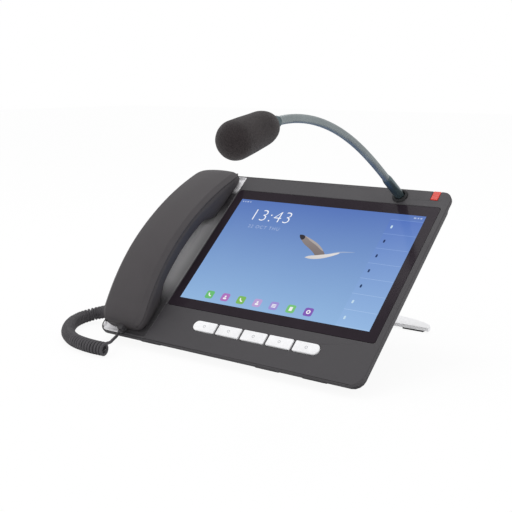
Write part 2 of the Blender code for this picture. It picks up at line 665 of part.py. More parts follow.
def make_tray(body):
    """Silver tray under the handset: a thin moulding with two wells, the hook plunger and its guide."""
    half_x = (TRAY_RIGHT - TRAY_LEFT) / 2
    half_y = (BODY_HEIGHT - 2 * TRAY_MARGIN) / 2
    well = HANDSET_HALF_WIDTH + 0.5 * MM
    lip = HANDSET_HALF_WIDTH + 2.1 * MM
    columns = [-half_x, -lip, -well, -well / 2, 0, well / 2, well, lip, half_x]
    low_edge = TRAY_MARGIN
    high_edge = BODY_HEIGHT - TRAY_MARGIN
    rows = [low_edge, low_edge + 1 * MM, HANDSET_START - 1.5 * MM, low_edge + 9.6 * MM, 26 * MM]
    rows += list(np.linspace(LOWER_HEAD_END + 5 * MM, LOWER_HEAD_END + 16 * MM, 4))
    rows += [78 * MM, 102 * MM, 126 * MM]
    rows += list(np.linspace(UPPER_HEAD_START - 16 * MM, UPPER_HEAD_START - 5 * MM, 4))
    rows += [180 * MM, 198 * MM, high_edge - 9.6 * MM]
    rows += [HANDSET_END + 0.3 * MM, high_edge - 0.2 * MM, high_edge]
    sheet = bmesh.new()
    bmesh.ops.create_grid(sheet, x_segments=len(columns) - 1, y_segments=len(rows) - 1, size=1)
    for vertex in sheet.verts:
        x = HANDSET_X + columns[round((vertex.co.x + 1) / 2 * (len(columns) - 1))]
        y = rows[round((vertex.co.y + 1) / 2 * (len(rows) - 1))]
        corner = CORNER_RADII[0] - TRAY_MARGIN
        beyond_x = max(0.0, TRAY_LEFT + corner - x)
        beyond_y = max(0.0, abs(y - FACE_CENTRE_Y) - half_y + corner)
        reach = math.hypot(beyond_x, beyond_y)
        if reach > 0 and max(beyond_x, beyond_y) > 0:
            shrink = max(beyond_x, beyond_y) / reach
            x += beyond_x * (1 - shrink)
            y -= math.copysign(beyond_y * (1 - shrink), y - FACE_CENTRE_Y)
        vertex.co = (x, y, tray_level(x, y))
    under = bmesh.ops.extrude_face_region(sheet, geom=list(sheet.faces))
    under_vertices = [item for item in under["geom"] if isinstance(item, bmesh.types.BMVert)]
    bmesh.ops.translate(sheet, vec=(0, 0, -TRAY_WALL), verts=under_vertices)
    bmesh.ops.recalc_face_normals(sheet, faces=sheet.faces)
    tray = add_mesh("cradle_tray", sheet, "silver_plastic", body)
    window = (HOOK_WIDTH + 4 * HOOK_CLEARANCE, HOOK_LENGTH + 4 * HOOK_CLEARANCE, 14 * MM)
    boolean(tray, box_bmesh(window, (HOOK_X, HOOK_Y, -6 * MM)), "DIFFERENCE", body)
    hook_top = HANDSET_FACE - GAP
    hook_bottom = hook_top - HOOK_HEIGHT
    add_box("hook_plunger", (HOOK_WIDTH, HOOK_LENGTH, HOOK_HEIGHT), (0, 0, hook_top - HOOK_HEIGHT / 2),
            "back_plastic", body, (HOOK_X, HOOK_Y, 0), bevel=0.8 * MM)
    slot_width = HOOK_WIDTH + 2 * HOOK_CLEARANCE
    slot_length = HOOK_LENGTH + 2 * HOOK_CLEARANCE
    guide_top = hook_bottom + 3 * MM
    slot_bottom = hook_bottom - 4.3 * MM
    guide_bottom = slot_bottom - GUIDE_WALL
    guide = add_box("hook_guide", (slot_width + 2 * GUIDE_WALL, slot_length + 2 * GUIDE_WALL,
                                   guide_top - guide_bottom),
                    (HOOK_X, HOOK_Y, (guide_top + guide_bottom) / 2), "back_plastic", body)
    slot = box_bmesh((slot_width, slot_length, guide_top - slot_bottom + 1 * MM),
                     (HOOK_X, HOOK_Y, (guide_top + slot_bottom + 1 * MM) / 2))
    boolean(guide, slot, "DIFFERENCE", body)


def make_back_cover(body):
    """Deep rear casing, thicker in its middle, with its port bay, socket opening, vents and screws."""
    half = BODY_WIDTH / 2 - BACK_INSET
    low = BACK_INSET
    high = BODY_HEIGHT - BACK_INSET
    middle = MIDDLE_WIDTH / 2
    levels = [
        (-half, half, low, high, 10 * MM, -COVER_THICKNESS - GAP),
        (-half, half, low, high, 10 * MM, -COVER_THICKNESS - 2 * MM),
        (-half + 1 * MM, half - 1 * MM, low + 1 * MM, high - 1 * MM, 10 * MM, -BACK_SIDE_DEPTH + 3 * MM),
        (-half + 4 * MM, half - 4 * MM, low + BACK_CHAMFER, high - BACK_CHAMFER, 9 * MM, -BACK_SIDE_DEPTH),
        (-middle - 6 * MM, middle + 6 * MM, MIDDLE_LOW - 6 * MM, MIDDLE_HIGH + 6 * MM, 9 * MM,
         -BACK_SIDE_DEPTH - BACK_FALL),
        (-middle, middle, MIDDLE_LOW, MIDDLE_HIGH, 8 * MM, -BACK_DEPTH),
    ]
    rings = []
    for left, right, bottom, top, radius, level in levels:
        outline = rounded_outline(left, right, bottom, top, [radius] * 4, 4)
        rings.append([(x, y, level) for x, y in reversed(outline)])
    cover = add_mesh("back_cover", loft_bmesh(rings, cap_first=False), "back_plastic", body)
    wall = cover.modifiers.new("wall", "SOLIDIFY")
    wall.thickness = WALL
    wall.offset = -1
    wall.use_even_offset = True
    boolean(cover, box_bmesh((PORT_BAY_WIDTH, PORT_BAY_HEIGHT, 14 * MM), (0, PORT_BAY_Y, -BACK_DEPTH)),
            "DIFFERENCE", body)
    boolean(cover, box_bmesh((14 * MM, PLUG_WIDTH + 2 * GAP, PLUG_HEIGHT + 2 * GAP),
                             (-half, SOCKET_LIFT, -SOCKET_DROP)), "DIFFERENCE", body)
    for slot in range(SLOT_COUNT):
        x = LOUDSPEAKER_X + (slot - (SLOT_COUNT - 1) / 2) * SLOT_PITCH
        boolean(cover, box_bmesh((SLOT_WIDTH, SLOT_LENGTH, 4 * WALL), (x, LOUDSPEAKER_Y, -BACK_DEPTH)),
                "DIFFERENCE", body)
    head_seat = -BACK_SIDE_DEPTH + 0.2 * MM - GAP
    for number, (x, y) in enumerate(CORNER_SCREWS, start=1):
        boolean(cover, cylinder_bmesh(SCREW_RADIUS + GAP, -BACK_SIDE_DEPTH - 8 * MM, -12 * MM, (x, y), 12),
                "DIFFERENCE", body)
        boolean(cover, cylinder_bmesh(SCREW_HEAD_RADIUS + GAP, -BACK_SIDE_DEPTH - 8 * MM, head_seat + GAP,
                                      (x, y), 16), "DIFFERENCE", body)
        profile = [
            (0, SCREW_LENGTH),
            (SCREW_RADIUS, SCREW_LENGTH),
            (SCREW_RADIUS, 0),
            (SCREW_HEAD_RADIUS, 0),
            (SCREW_HEAD_RADIUS, -SCREW_HEAD_THICKNESS),
            (0, -SCREW_HEAD_THICKNESS),
        ]
        add_turned(f"cover_screw_{number}", profile, "steel", body, (x, y, head_seat), 12)


def make_sockets(body):
    """Sockets in the port bay, which face out of the back, and the handset socket in the left side."""
    middle = (SOCKET_TAIL + SOCKET_FACE) / 2
    height = PORT_BAY_HEIGHT - 2 * GAP
    sockets = [
        ("network_socket", -36 * MM, 17 * MM, 11.8 * MM, 9 * MM),
        ("pc_socket", -16 * MM, 17 * MM, 11.8 * MM, 9 * MM),
        ("headset_socket", 3 * MM, 12 * MM, 7.8 * MM, 7.2 * MM),
        ("usb_socket", 18 * MM, 9 * MM, 5 * MM, 12.6 * MM),
    ]
    for name, x, width, mouth_width, mouth_height in sockets:
        piece = add_box(name, (width, height, SOCKET_DEPTH), (0, 0, 0), "steel", body,
                        (x, PORT_BAY_Y, middle))
        mouth_size = (mouth_width, mouth_height, 2 * (SOCKET_DEPTH - SOCKET_END_WALL))
        boolean(piece, box_bmesh(mouth_size, (x, PORT_BAY_Y, SOCKET_FACE)), "DIFFERENCE", body)
    power_x = 36 * MM
    power = add_box("power_socket", (11 * MM, height, SOCKET_DEPTH), (0, 0, 0), "back_plastic", body,
                    (power_x, PORT_BAY_Y, middle))
    bore = cylinder_bmesh(POWER_BORE, SOCKET_FACE - 6 * MM, SOCKET_TAIL - SOCKET_END_WALL,
                          (power_x, PORT_BAY_Y), 16)
    boolean(power, bore, "DIFFERENCE", body)
    add_box("port_board", (PORT_BAY_WIDTH, PORT_BAY_HEIGHT + 7 * MM, BOARD_THICKNESS),
            (0, PORT_BAY_Y + 1 * MM, PORT_BOARD_FRONT - BOARD_THICKNESS / 2), "board", body)
    wall_inside = -BODY_WIDTH / 2 + BACK_INSET + WALL + 3 * MM
    socket = add_box("handset_socket", (14 * MM, 13 * MM, 8.6 * MM),
                     (wall_inside + 7 * MM + GAP, SOCKET_LIFT, -SOCKET_DROP), "back_plastic", body)
    boolean(socket, box_bmesh((16 * MM, PLUG_WIDTH + 2 * GAP, PLUG_HEIGHT + 2 * GAP),
                              (wall_inside, SOCKET_LIFT, -SOCKET_DROP)), "DIFFERENCE", body)


def make_loudspeaker(body):
    """Hands-free loudspeaker behind its slots: a turned basket and magnet."""
    level = -BACK_DEPTH + WALL + GAP
    profile = [
        (0, 7 * MM),
        (8 * MM, 7 * MM),
        (8 * MM, 3.4 * MM),
        (LOUDSPEAKER_RADIUS, 2.2 * MM),
        (LOUDSPEAKER_RADIUS, 0),
        (LOUDSPEAKER_RADIUS - 4 * MM, 0),
        (9 * MM, 1.4 * MM),
        (0, 1.4 * MM),
    ]
    add_turned("loudspeaker", profile, "steel", body, (LOUDSPEAKER_X, LOUDSPEAKER_Y, level), 24)


# ---------------------------------------------------------------- handset
def back_level(y):
    """Height of the handset's long back edges above the face: a shallow arch."""
    offset = y - HANDSET_PEAK_AT
    fall = FALL_BELOW if offset < 0 else FALL_ABOVE
    return HANDSET_PEAK - fall * offset ** 2


def face_level(y):
    """Height of the handset's underside: flat at the two heads, arched along the grip."""
    grip = back_level(y) - HANDSET_GRIP_THICKNESS
    in_grip = (smooth_step(LOWER_HEAD_END - 2 * MM, LOWER_HEAD_END + HEAD_BLEND, y)
               * (1 - smooth_step(UPPER_HEAD_START - HEAD_BLEND, UPPER_HEAD_START, y)))
    return HANDSET_FACE + (grip - HANDSET_FACE) * in_grip


def end_rounding(y):
    """Share of the full section that is left near the two ends."""
    inside = min(y - HANDSET_START, HANDSET_END - y)
    if inside >= HEAD_ROUNDING:
        return 1.0
    return 0.80 + 0.20 * math.sqrt(max(0.0, 1 - (1 - inside / HEAD_ROUNDING) ** 2))


def handset_stations(count):
    """Places along the handset, closer together near its ends."""
    shares = 0.5 - 0.5 * np.cos(np.linspace(0, math.pi, count))
    return HANDSET_START + HANDSET_LENGTH * (0.35 * np.linspace(0, 1, count) + 0.65 * shares)


def handset_section(y, upper):
    """Open section of one shell, from its left rim to its right rim."""
    scale = end_rounding(y)
    edge = back_level(y)
    parting = edge - HANDSET_SKIRT
    floor = face_level(y)
    middle = (parting + floor) / 2
    if upper:
        half = HANDSET_HALF_WIDTH * scale
        shoulder = HANDSET_BACK_HALF_WIDTH * scale
        side = [
            (half, parting + GAP),
            (half, parting + 1.2 * MM),
            ((half + shoulder) / 2 + 1.2 * MM, edge - 3 * MM),
            (shoulder, edge),
            (shoulder * 0.72, edge + HANDSET_CROWN * 0.5 * scale),
            (shoulder * 0.36, edge + HANDSET_CROWN * 0.88 * scale),
        ]
        crest = [(0, edge + HANDSET_CROWN * scale)]
        points = [(-a, b) for a, b in side] + crest + list(reversed(side))
        mended = [(a, middle + (b - middle) * scale if b > parting + 1.5 * MM else b) for a, b in points]
        return [(a, y, b) for a, b in mended]
    rim = parting - GAP / 2
    half = (HANDSET_HALF_WIDTH - 0.2 * MM) * scale
    points = []
    for step in range(13):
        angle = math.pi * step / 12
        across = math.copysign(abs(math.cos(angle)) ** 0.42, math.cos(angle))
        depth = abs(math.sin(angle)) ** 0.62
        points.append((half * across, y, rim + (floor - rim) * depth * (0.55 + 0.45 * scale)))
    return points


def make_handset(body):
    """Handset in two shells with its capsules, weight, jack and the plug of its cord."""
    frame = add_empty("handset_frame", body, (HANDSET_X, 0, 0))
    rings = [handset_section(y, True) for y in handset_stations(17)]
    back = add_mesh("handset_back_shell", loft_bmesh(rings, closed=False), "handset_plastic", frame)
    rings = [handset_section(y, False) for y in handset_stations(23)]
    front = add_mesh("handset_front_shell", loft_bmesh(rings, closed=False), "handset_plastic", frame)
    for shell in (back, front):
        wall = shell.modifiers.new("wall", "SOLIDIFY")
        wall.thickness = HANDSET_WALL
        wall.offset = -1
        shade_round(shell)
    boolean(front, box_bmesh((PLUG_HEIGHT + 2 * GAP, 14 * MM, PLUG_HEIGHT + 2 * GAP),
                             (0, HANDSET_START, PLUG_LEVEL)), "DIFFERENCE", frame)
    floor = HANDSET_FACE + HANDSET_WALL + 2 * GAP
    add_cylinder("earpiece", EARPIECE_RADIUS, floor, floor + EARPIECE_THICKNESS, "steel", frame,
                 (0, UPPER_HEAD_START + 26 * MM))
    add_cylinder("handset_microphone", MOUTHPIECE_RADIUS, floor, floor + MOUTHPIECE_THICKNESS, "steel", frame,
                 (0, 31 * MM), sides=16)
    weight_floor = face_level(HANDSET_PEAK_AT) + HANDSET_WALL + 2 * GAP
    add_box("handset_weight", (22 * MM, 54 * MM, WEIGHT_THICKNESS),
            (0, HANDSET_PEAK_AT, weight_floor + WEIGHT_THICKNESS / 2), "steel", frame, bevel=1 * MM)
    add_box("handset_jack", (11 * MM, 10 * MM, 8 * MM), (0, HANDSET_START + 9.2 * MM, PLUG_LEVEL + 1.6 * MM),
            "back_plastic", frame)
    plug_inside = HANDSET_START + 3.5 * MM
    add_box("handset_plug", (PLUG_HEIGHT, HANDSET_PLUG_LENGTH, PLUG_HEIGHT),
            (0, plug_inside - HANDSET_PLUG_LENGTH / 2, PLUG_LEVEL), "cord", frame, bevel=0.6 * MM)


# ---------------------------------------------------------------- microphone
def make_microphone(body):
    """Collar, ferrule, four flexible neck segments, capsule and windscreen."""
    collar = [
        (FERRULE_RADIUS + 0.4 * MM, COLLAR_HEIGHT),
        (COLLAR_RADIUS - 1.2 * MM, COLLAR_HEIGHT),
        (COLLAR_RADIUS, COLLAR_HEIGHT - 1.2 * MM),
        (COLLAR_RADIUS, GAP),
        (FERRULE_RADIUS + 0.4 * MM, GAP),
        (FERRULE_RADIUS + 0.4 * MM, COLLAR_HEIGHT),
    ]
    add_turned("microphone_collar", collar, "rubber", body, (MIC_X, MIC_LIFT, 0))
    lean_frame = add_empty("ferrule_frame", body, (MIC_X, MIC_LIFT, 0), (NECK_LEAN, 0, 0))
    ferrule = [
        (0, FERRULE_LENGTH),
        (NECK_RADIUS + 0.3 * MM, FERRULE_LENGTH),
        (FERRULE_RADIUS - 0.3 * MM, FERRULE_LENGTH - 4 * MM),
        (FERRULE_RADIUS - 0.1 * MM, 6 * MM),
        (FERRULE_RADIUS - 0.6 * MM, 2.5 * MM),
        (FERRULE_RADIUS - 1.0 * MM, -3.5 * MM),
        (0, -3.5 * MM),
    ]
    add_turned("microphone_ferrule", ferrule, "neck_metal", lean_frame)
    sleeve_top = FERRULE_LENGTH + SLEEVE_LENGTH
    sleeve = [
        (0, sleeve_top + NECK_RADIUS),
        (NECK_RADIUS * 0.5, sleeve_top + NECK_RADIUS * 0.86),
        (NECK_RADIUS * 0.87, sleeve_top + NECK_RADIUS * 0.5),
        (NECK_RADIUS, sleeve_top),
        (NECK_RADIUS, FERRULE_LENGTH + GAP),
        (0, FERRULE_LENGTH + GAP),
    ]
    add_turned("neck_sleeve", sleeve, "neck_metal", lean_frame, steps=16)
    length = (NECK_LENGTH - SLEEVE_LENGTH) / NECK_SEGMENTS
    for index in range(NECK_SEGMENTS):
        start = sleeve_top + index * length
        end = start + length
        pivot = neck_point(start)[0]
        tip, lean = neck_point(end)
        axis = Vector((0, -math.sin(lean), math.cos(lean)))
        first = start + NECK_RADIUS + GAP
        stations = np.linspace(first, end, 9)
        points = [neck_point(station)[0] - pivot for station in stations]
        radii = [1.0] * len(points)
        if index < NECK_SEGMENTS - 1:
            for turn in (30, 60, 88):
                points.append(tip - pivot + axis * NECK_RADIUS * math.sin(math.radians(turn)))
                radii.append(math.cos(math.radians(turn)))
        add_tube(f"neck_{index + 1}", points, NECK_RADIUS, "neck_metal", body, pivot, radii, 3)
    tip, lean = neck_point(FERRULE_LENGTH + NECK_LENGTH)
    head = add_empty("microphone_head", body, tip, (lean + HEAD_TILT, 0, 0))
    capsule = [
        (0, CAPSULE_LENGTH),
        (CAPSULE_RADIUS - 1 * MM, CAPSULE_LENGTH),
        (CAPSULE_RADIUS, CAPSULE_LENGTH - 1 * MM),
        (CAPSULE_RADIUS, CAPSULE_BASE + 1 * MM),
        (CAPSULE_RADIUS - 0.8 * MM, CAPSULE_BASE),
        (0, CAPSULE_BASE),
    ]
    add_turned("microphone_capsule", capsule, "neck_metal", head, steps=20)
    bore = CAPSULE_RADIUS + GAP
    nose = WINDSCREEN_LENGTH
    screen = [(0, nose)]
    for turn in (20, 42, 64, 82):
        angle = math.radians(turn)
        screen.append((WINDSCREEN_RADIUS * math.sin(angle),
                       nose - WINDSCREEN_RADIUS * (1 - math.cos(angle))))
    screen += [
        (WINDSCREEN_RADIUS, nose - WINDSCREEN_RADIUS * 1.4),
        (WINDSCREEN_TAIL_RADIUS + 0.6 * MM, 16 * MM),
        (WINDSCREEN_TAIL_RADIUS - 0.6 * MM, 8 * MM),
        (WINDSCREEN_TAIL_RADIUS - 4 * MM, 2 * MM),
        (bore, 1 * MM),
        (bore, CAPSULE_LENGTH + GAP),
        (0, CAPSULE_LENGTH + GAP),
    ]
    add_turned("windscreen", screen, "foam", head, steps=24)


# ---------------------------------------------------------------- stand and feet
def stand_geometry():
    """Hinge place and the leg's lean, worked out so that the foot plate lies on its pads."""
    hinge = body_point(0, HINGE_LIFT, -BACK_DEPTH - HINGE_DROP)
    foot_front = FACE_FRONT_Y + STANCE_DEPTH - FOOT_DEPTH
    run = foot_front + STAND_THICKNESS - hinge.y
    drop = hinge.z - PAD_THICKNESS - STAND_THICKNESS / 2
    return hinge, math.atan2(drop, run), math.hypot(run, drop), foot_front


def make_stand(root):
    """Metal stand that folds against the back: leg with a cable window, foot plate, pads and pins."""
    hinge, fall, leg_length, foot_front = stand_geometry()
    frame = add_empty("stand_frame_axis", root, hinge)
    half_top = STAND_TOP_WIDTH / 2
    half_low = STAND_FOOT_WIDTH / 2
    barrel = HINGE_PIN_RADIUS + HINGE_WALL
    window = rounded_outline(-34 * MM, 34 * MM, 26 * MM, leg_length - 24 * MM, [8 * MM] * 4, 3)
    outline = [(-half_low, leg_length), (half_low, leg_length), (half_top, 0), (-half_top, 0)]
    leg = add_plate("stand_leg", [outline, window], -STAND_THICKNESS / 2, STAND_THICKNESS / 2,
                    "stand_metal", frame)
    leg.rotation_euler = (-fall, 0, 0)
    foot = []
    for step in range(25):
        angle = math.pi * step / 24
        foot.append((FOOT_SPAN / 2 * math.cos(angle), FOOT_DEPTH * math.sin(angle) ** 0.8))
    foot_level = PAD_THICKNESS + STAND_THICKNESS / 2 - hinge.z
    rings = []
    for level in (-STAND_THICKNESS / 2, STAND_THICKNESS / 2):
        rings.append([(x, y + foot_front - hinge.y, foot_level + level) for x, y in foot])
    boolean(leg, loft_bmesh(rings), "UNION", frame)
    boolean(leg, lay_along_x(cylinder_bmesh(barrel, -half_top, half_top, sides=16)), "UNION", frame)
    for side in (-1, 1):
        notch = box_bmesh((NOTCH_WIDTH, 2 * NOTCH_REACH, 2 * NOTCH_REACH), (side * HINGE_OFFSET, 0, 0))
        boolean(leg, notch, "DIFFERENCE", frame)
    reach = half_top + 2 * MM
    bore = lay_along_x(cylinder_bmesh(HINGE_PIN_RADIUS + GAP, -reach, reach, sides=16))
    boolean(leg, bore, "DIFFERENCE", frame)
    for side, name in ((-1, "left"), (1, "right")):
        add_box(f"stand_pad_{name}", (PAD_LENGTH, PAD_WIDTH, PAD_THICKNESS - GAP),
                (side * PAD_OFFSET, foot_front + 2 * MM + PAD_WIDTH / 2 - hinge.y,
                 (PAD_THICKNESS - GAP) / 2 - hinge.z), "rubber", frame)
        pin = lay_along_x(cylinder_bmesh(HINGE_PIN_RADIUS, -PIN_LENGTH / 2, PIN_LENGTH / 2, sides=16))
        add_mesh(f"hinge_pin_{name}", pin, "steel", root, hinge + Vector((side * HINGE_OFFSET, 0, 0)))


def make_hinge_brackets(body):
    """Two lugs on the back that hold the stand's pins."""
    seat = -BACK_DEPTH - GAP
    axis_level = -BACK_DEPTH - HINGE_DROP
    for side, name in ((-1, "left"), (1, "right")):
        x = side * HINGE_OFFSET
        end = axis_level - BRACKET_END
        lug = add_box(f"hinge_bracket_{name}", (BRACKET_WIDTH, BRACKET_LENGTH, seat - end),
                      (x, HINGE_LIFT, (seat + end) / 2), "back_plastic", body)
        bore = lay_along_x(cylinder_bmesh(HINGE_PIN_RADIUS + GAP, -9 * MM, 9 * MM, sides=16))
        boolean(lug, bore, "DIFFERENCE", body, (x, HINGE_LIFT, axis_level))


def make_feet(root):
    """Rubber feet under the lower edge, and the low pod of the hands-free microphone."""
    def rear_point(y):
        """World point just off the rear of the back cover, near its lower edge."""
        fall = BACK_FALL * (y - BACK_INSET - BACK_CHAMFER) / (MIDDLE_LOW - 6 * MM - BACK_INSET - BACK_CHAMFER)
        return body_point(0, y, -BACK_SIDE_DEPTH - fall - GAP)

    near = rear_point(BACK_INSET + BACK_CHAMFER + 0.5 * MM)
    far = rear_point(BACK_INSET + BACK_CHAMFER + 17 * MM)
    for x, name in ((-FRONT_FOOT_X, "left"), (FRONT_FOOT_X, "right")):
        add_wedge(f"front_foot_{name}", x, FRONT_FOOT_LENGTH, near, far, "rubber", root)
    add_wedge("handsfree_microphone", POD_X, POD_LENGTH, near, far, "back_plastic", root)


def add_wedge(name, x, length, near, far, finish, root):
    """A block that fills the wedge between the back cover's lower corner and the desk."""
    section = [
        (near.y, near.z),
        (far.y, far.z),
        (far.y + 2.5 * MM, far.z - 4 * MM),
        (near.y + 11.5 * MM, 0),
        (near.y + 0.5 * MM, 0),
    ]
    rings = []
    for edge in (-length / 2, length / 2):
        rings.append([(x + edge, y, z) for y, z in reversed(section)])
    add_mesh(name, loft_bmesh(rings), finish, root)


# ---------------------------------------------------------------- cord
def make_cord(root, body):
    """Curly cord as its outer shape, with a plain lead and a plug at each end."""
    plug_x = -BODY_WIDTH / 2 + BACK_INSET - 3 * MM
    add_box("base_plug", (BASE_PLUG_LENGTH, PLUG_WIDTH, PLUG_HEIGHT), (plug_x, SOCKET_LIFT, -SOCKET_DROP),
            "cord", body, bevel=0.6 * MM)
    coil = smooth_points(np.array(COIL_ROUTE) * MM, 5 * MM)
    add_tube("curly_cord", [tuple(point) for point in coil], COIL_RADIUS, "cord", root)
    start = body_point(plug_x - BASE_PLUG_LENGTH / 2 - GAP, SOCKET_LIFT, -SOCKET_DROP)
    first = Vector(coil[0])
    heading = (first - Vector(coil[1])).normalized()
    lead = [start, start + Vector((-5, -0.8, -1.6)) * MM, first + heading * (4 * MM), first + heading * GAP]
    route = smooth_points([tuple(point) for point in lead], 3 * MM)
    add_tube("base_lead", [tuple(point) for point in route], WIRE_RADIUS, "cord", root)
    plug_end = body_point(HANDSET_X, HANDSET_START + 3.5 * MM - HANDSET_PLUG_LENGTH - GAP, PLUG_LEVEL)
    out = Vector((0, -math.cos(TILT), -math.sin(TILT)))
    knots = [tuple(np.array(point) * MM) for point in HANDSET_LEAD_ROUTE]
    knots.append(tuple(plug_end + out * (4 * MM)))
    knots.append(tuple(plug_end))
    route = smooth_points(knots, 3.2 * MM)
    add_tube("handset_lead", [tuple(point) for point in route], WIRE_RADIUS, "cord", root)


# ---------------------------------------------------------------- assembly
clear_scene()
PARTS = bpy.data.collections.new("desk_ip_phone")
CUTTERS = bpy.data.collections.new("cutters")
bpy.context.scene.collection.children.link(PARTS)
bpy.context.scene.collection.children.link(CUTTERS)


def main():
    """Build the phone."""
    root = add_empty("phone", None)
    body = add_empty("body_frame", root, body_point(0, 0, 0), (TILT, 0, 0))
    make_front_cover(body)
    make_screen(body)
    make_keys(body)
    make_call_light(body)
    make_tray(body)
    make_back_cover(body)
    make_sockets(body)
    make_loudspeaker(body)
    make_handset(body)
    make_microphone(body)
    make_hinge_brackets(body)
    make_stand(root)
    make_feet(root)
    make_cord(root, body)


main()
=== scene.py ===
"""Looks of the desk IP phone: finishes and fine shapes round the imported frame.

The row frame is in metres, with +X to the user's right, +Y away from the user and +Z up.
The face frame has x to the right, y up the tilted face from its lower edge and z out of the face.
"""
from __future__ import annotations

import json
import logging
import math
from dataclasses import dataclass, field
from enum import Enum
from typing import Sequence

import bmesh
import bpy
import numpy as np
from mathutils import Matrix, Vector


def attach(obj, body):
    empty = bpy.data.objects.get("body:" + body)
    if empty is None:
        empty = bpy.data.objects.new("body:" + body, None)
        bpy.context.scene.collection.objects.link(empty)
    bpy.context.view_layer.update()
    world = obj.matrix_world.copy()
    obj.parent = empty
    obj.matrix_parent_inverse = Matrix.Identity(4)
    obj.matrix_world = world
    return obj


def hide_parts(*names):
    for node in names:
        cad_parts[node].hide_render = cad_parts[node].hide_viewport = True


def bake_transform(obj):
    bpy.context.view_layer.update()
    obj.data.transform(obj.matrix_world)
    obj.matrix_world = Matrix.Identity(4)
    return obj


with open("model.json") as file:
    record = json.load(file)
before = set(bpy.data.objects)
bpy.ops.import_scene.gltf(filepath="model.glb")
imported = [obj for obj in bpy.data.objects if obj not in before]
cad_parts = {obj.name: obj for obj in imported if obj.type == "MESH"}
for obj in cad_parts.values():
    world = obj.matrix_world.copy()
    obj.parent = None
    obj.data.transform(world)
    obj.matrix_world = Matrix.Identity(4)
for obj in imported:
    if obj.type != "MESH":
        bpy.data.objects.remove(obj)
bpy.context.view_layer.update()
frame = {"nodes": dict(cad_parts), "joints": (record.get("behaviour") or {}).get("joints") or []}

MM = 0.001
GAP = 0.3 * MM                         # left between pieces that fit each other
SPAN_SAMPLES = 80                      # points of a smooth route between two of its knots
LOG = logging.getLogger("desk_phone")
Colour = tuple[float, float, float]


# ---------------------------------------------------------------- places
@dataclass(frozen=True)
class FaceFrame:
    """The frame of the tilted face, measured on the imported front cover."""

    origin_y: float
    origin_z: float
    tilt: float

    @classmethod
    def measured(cls) -> FaceFrame:
        """Take the tilt from a key's joint and the origin from the cover's lower front edge."""
        press = next(joint for joint in frame["joints"] if joint["name"] == "key_1_press")
        tilt = math.atan2(press["axis"][1], -press["axis"][2])
        flat = cls(0.0, 0.0, tilt)
        low, high = flat.extent("front_cover")
        corner = flat.to_world(np.array([[0.0, low[1], high[2]]]))[0]
        return cls(float(corner[1]), float(corner[2]), tilt)

    def to_world(self, points: np.ndarray) -> np.ndarray:
        """Turn face points into row frame points by the tilt about the x axis, then shift them.

        Args:
            points: An array whose last axis is x, y, z in the face frame.

        Returns:
            The same array in the row frame.
        """
        x, y, z = points[..., 0], points[..., 1], points[..., 2]
        cosine, sine = math.cos(self.tilt), math.sin(self.tilt)
        return np.stack([x, self.origin_y + y * cosine - z * sine, self.origin_z + y * sine + z * cosine], -1)

    def to_face(self, points: np.ndarray) -> np.ndarray:
        """Turn row frame points into face points, the inverse of to_world."""
        x, y, z = points[..., 0], points[..., 1] - self.origin_y, points[..., 2] - self.origin_z
        cosine, sine = math.cos(self.tilt), math.sin(self.tilt)
        return np.stack([x, y * cosine + z * sine, z * cosine - y * sine], -1)

    def extent(self, node: str) -> tuple[np.ndarray, np.ndarray]:
        """Lowest and highest corner of a CAD node in the face frame."""
        points = self.to_face(node_points(node))
        return points.min(0), points.max(0)

    def normal(self) -> np.ndarray:
        """The direction out of the face, in the row frame."""
        return np.array([0.0, -math.sin(self.tilt), math.cos(self.tilt)])


def node_points(node: str) -> np.ndarray:
    """The points of a CAD node in the row frame."""
    mesh = frame["nodes"][node].data
    flat = np.zeros(len(mesh.vertices) * 3)
    mesh.vertices.foreach_get("co", flat)
    return flat.reshape(-1, 3)


FACE = FaceFrame.measured()


# ---------------------------------------------------------------- shader maths
class Value:
    """A socket of a shader tree, on which arithmetic adds Math nodes."""

    def __init__(self, tree: Tree, socket: bpy.types.NodeSocket) -> None:
        """Keep the socket and the tree that it belongs to."""
        self.tree = tree
        self.socket = socket

    def _math(self, operation: str, *terms: object) -> Value:
        """Add a Math node on some terms, each a number or a Value."""
        return self.tree.node("ShaderNodeMath", {"operation": operation}, dict(enumerate(terms)))

    def __add__(self, other: object) -> Value:
        """Sum of two terms."""
        return self._math("ADD", self, other)

    def __radd__(self, other: object) -> Value:
        """Sum with a number on the left."""
        return self._math("ADD", other, self)

    def __sub__(self, other: object) -> Value:
        """Difference of two terms."""
        return self._math("SUBTRACT", self, other)

    def __rsub__(self, other: object) -> Value:
        """Difference from a number on the left."""
        return self._math("SUBTRACT", other, self)

    def __mul__(self, other: object) -> Value:
        """Product of two terms."""
        return self._math("MULTIPLY", self, other)

    def __rmul__(self, other: object) -> Value:
        """Product with a number on the left."""
        return self._math("MULTIPLY", other, self)

    def __pow__(self, other: object) -> Value:
        """Power of a term."""
        return self._math("POWER", self, other)

    def span(self, low: float, high: float) -> Value:
        """Smooth rise from 0 at low to 1 at high."""
        inputs = {"Value": self, "From Min": low, "From Max": high}
        return self.tree.node("ShaderNodeMapRange", {"interpolation_type": "SMOOTHSTEP"}, inputs)


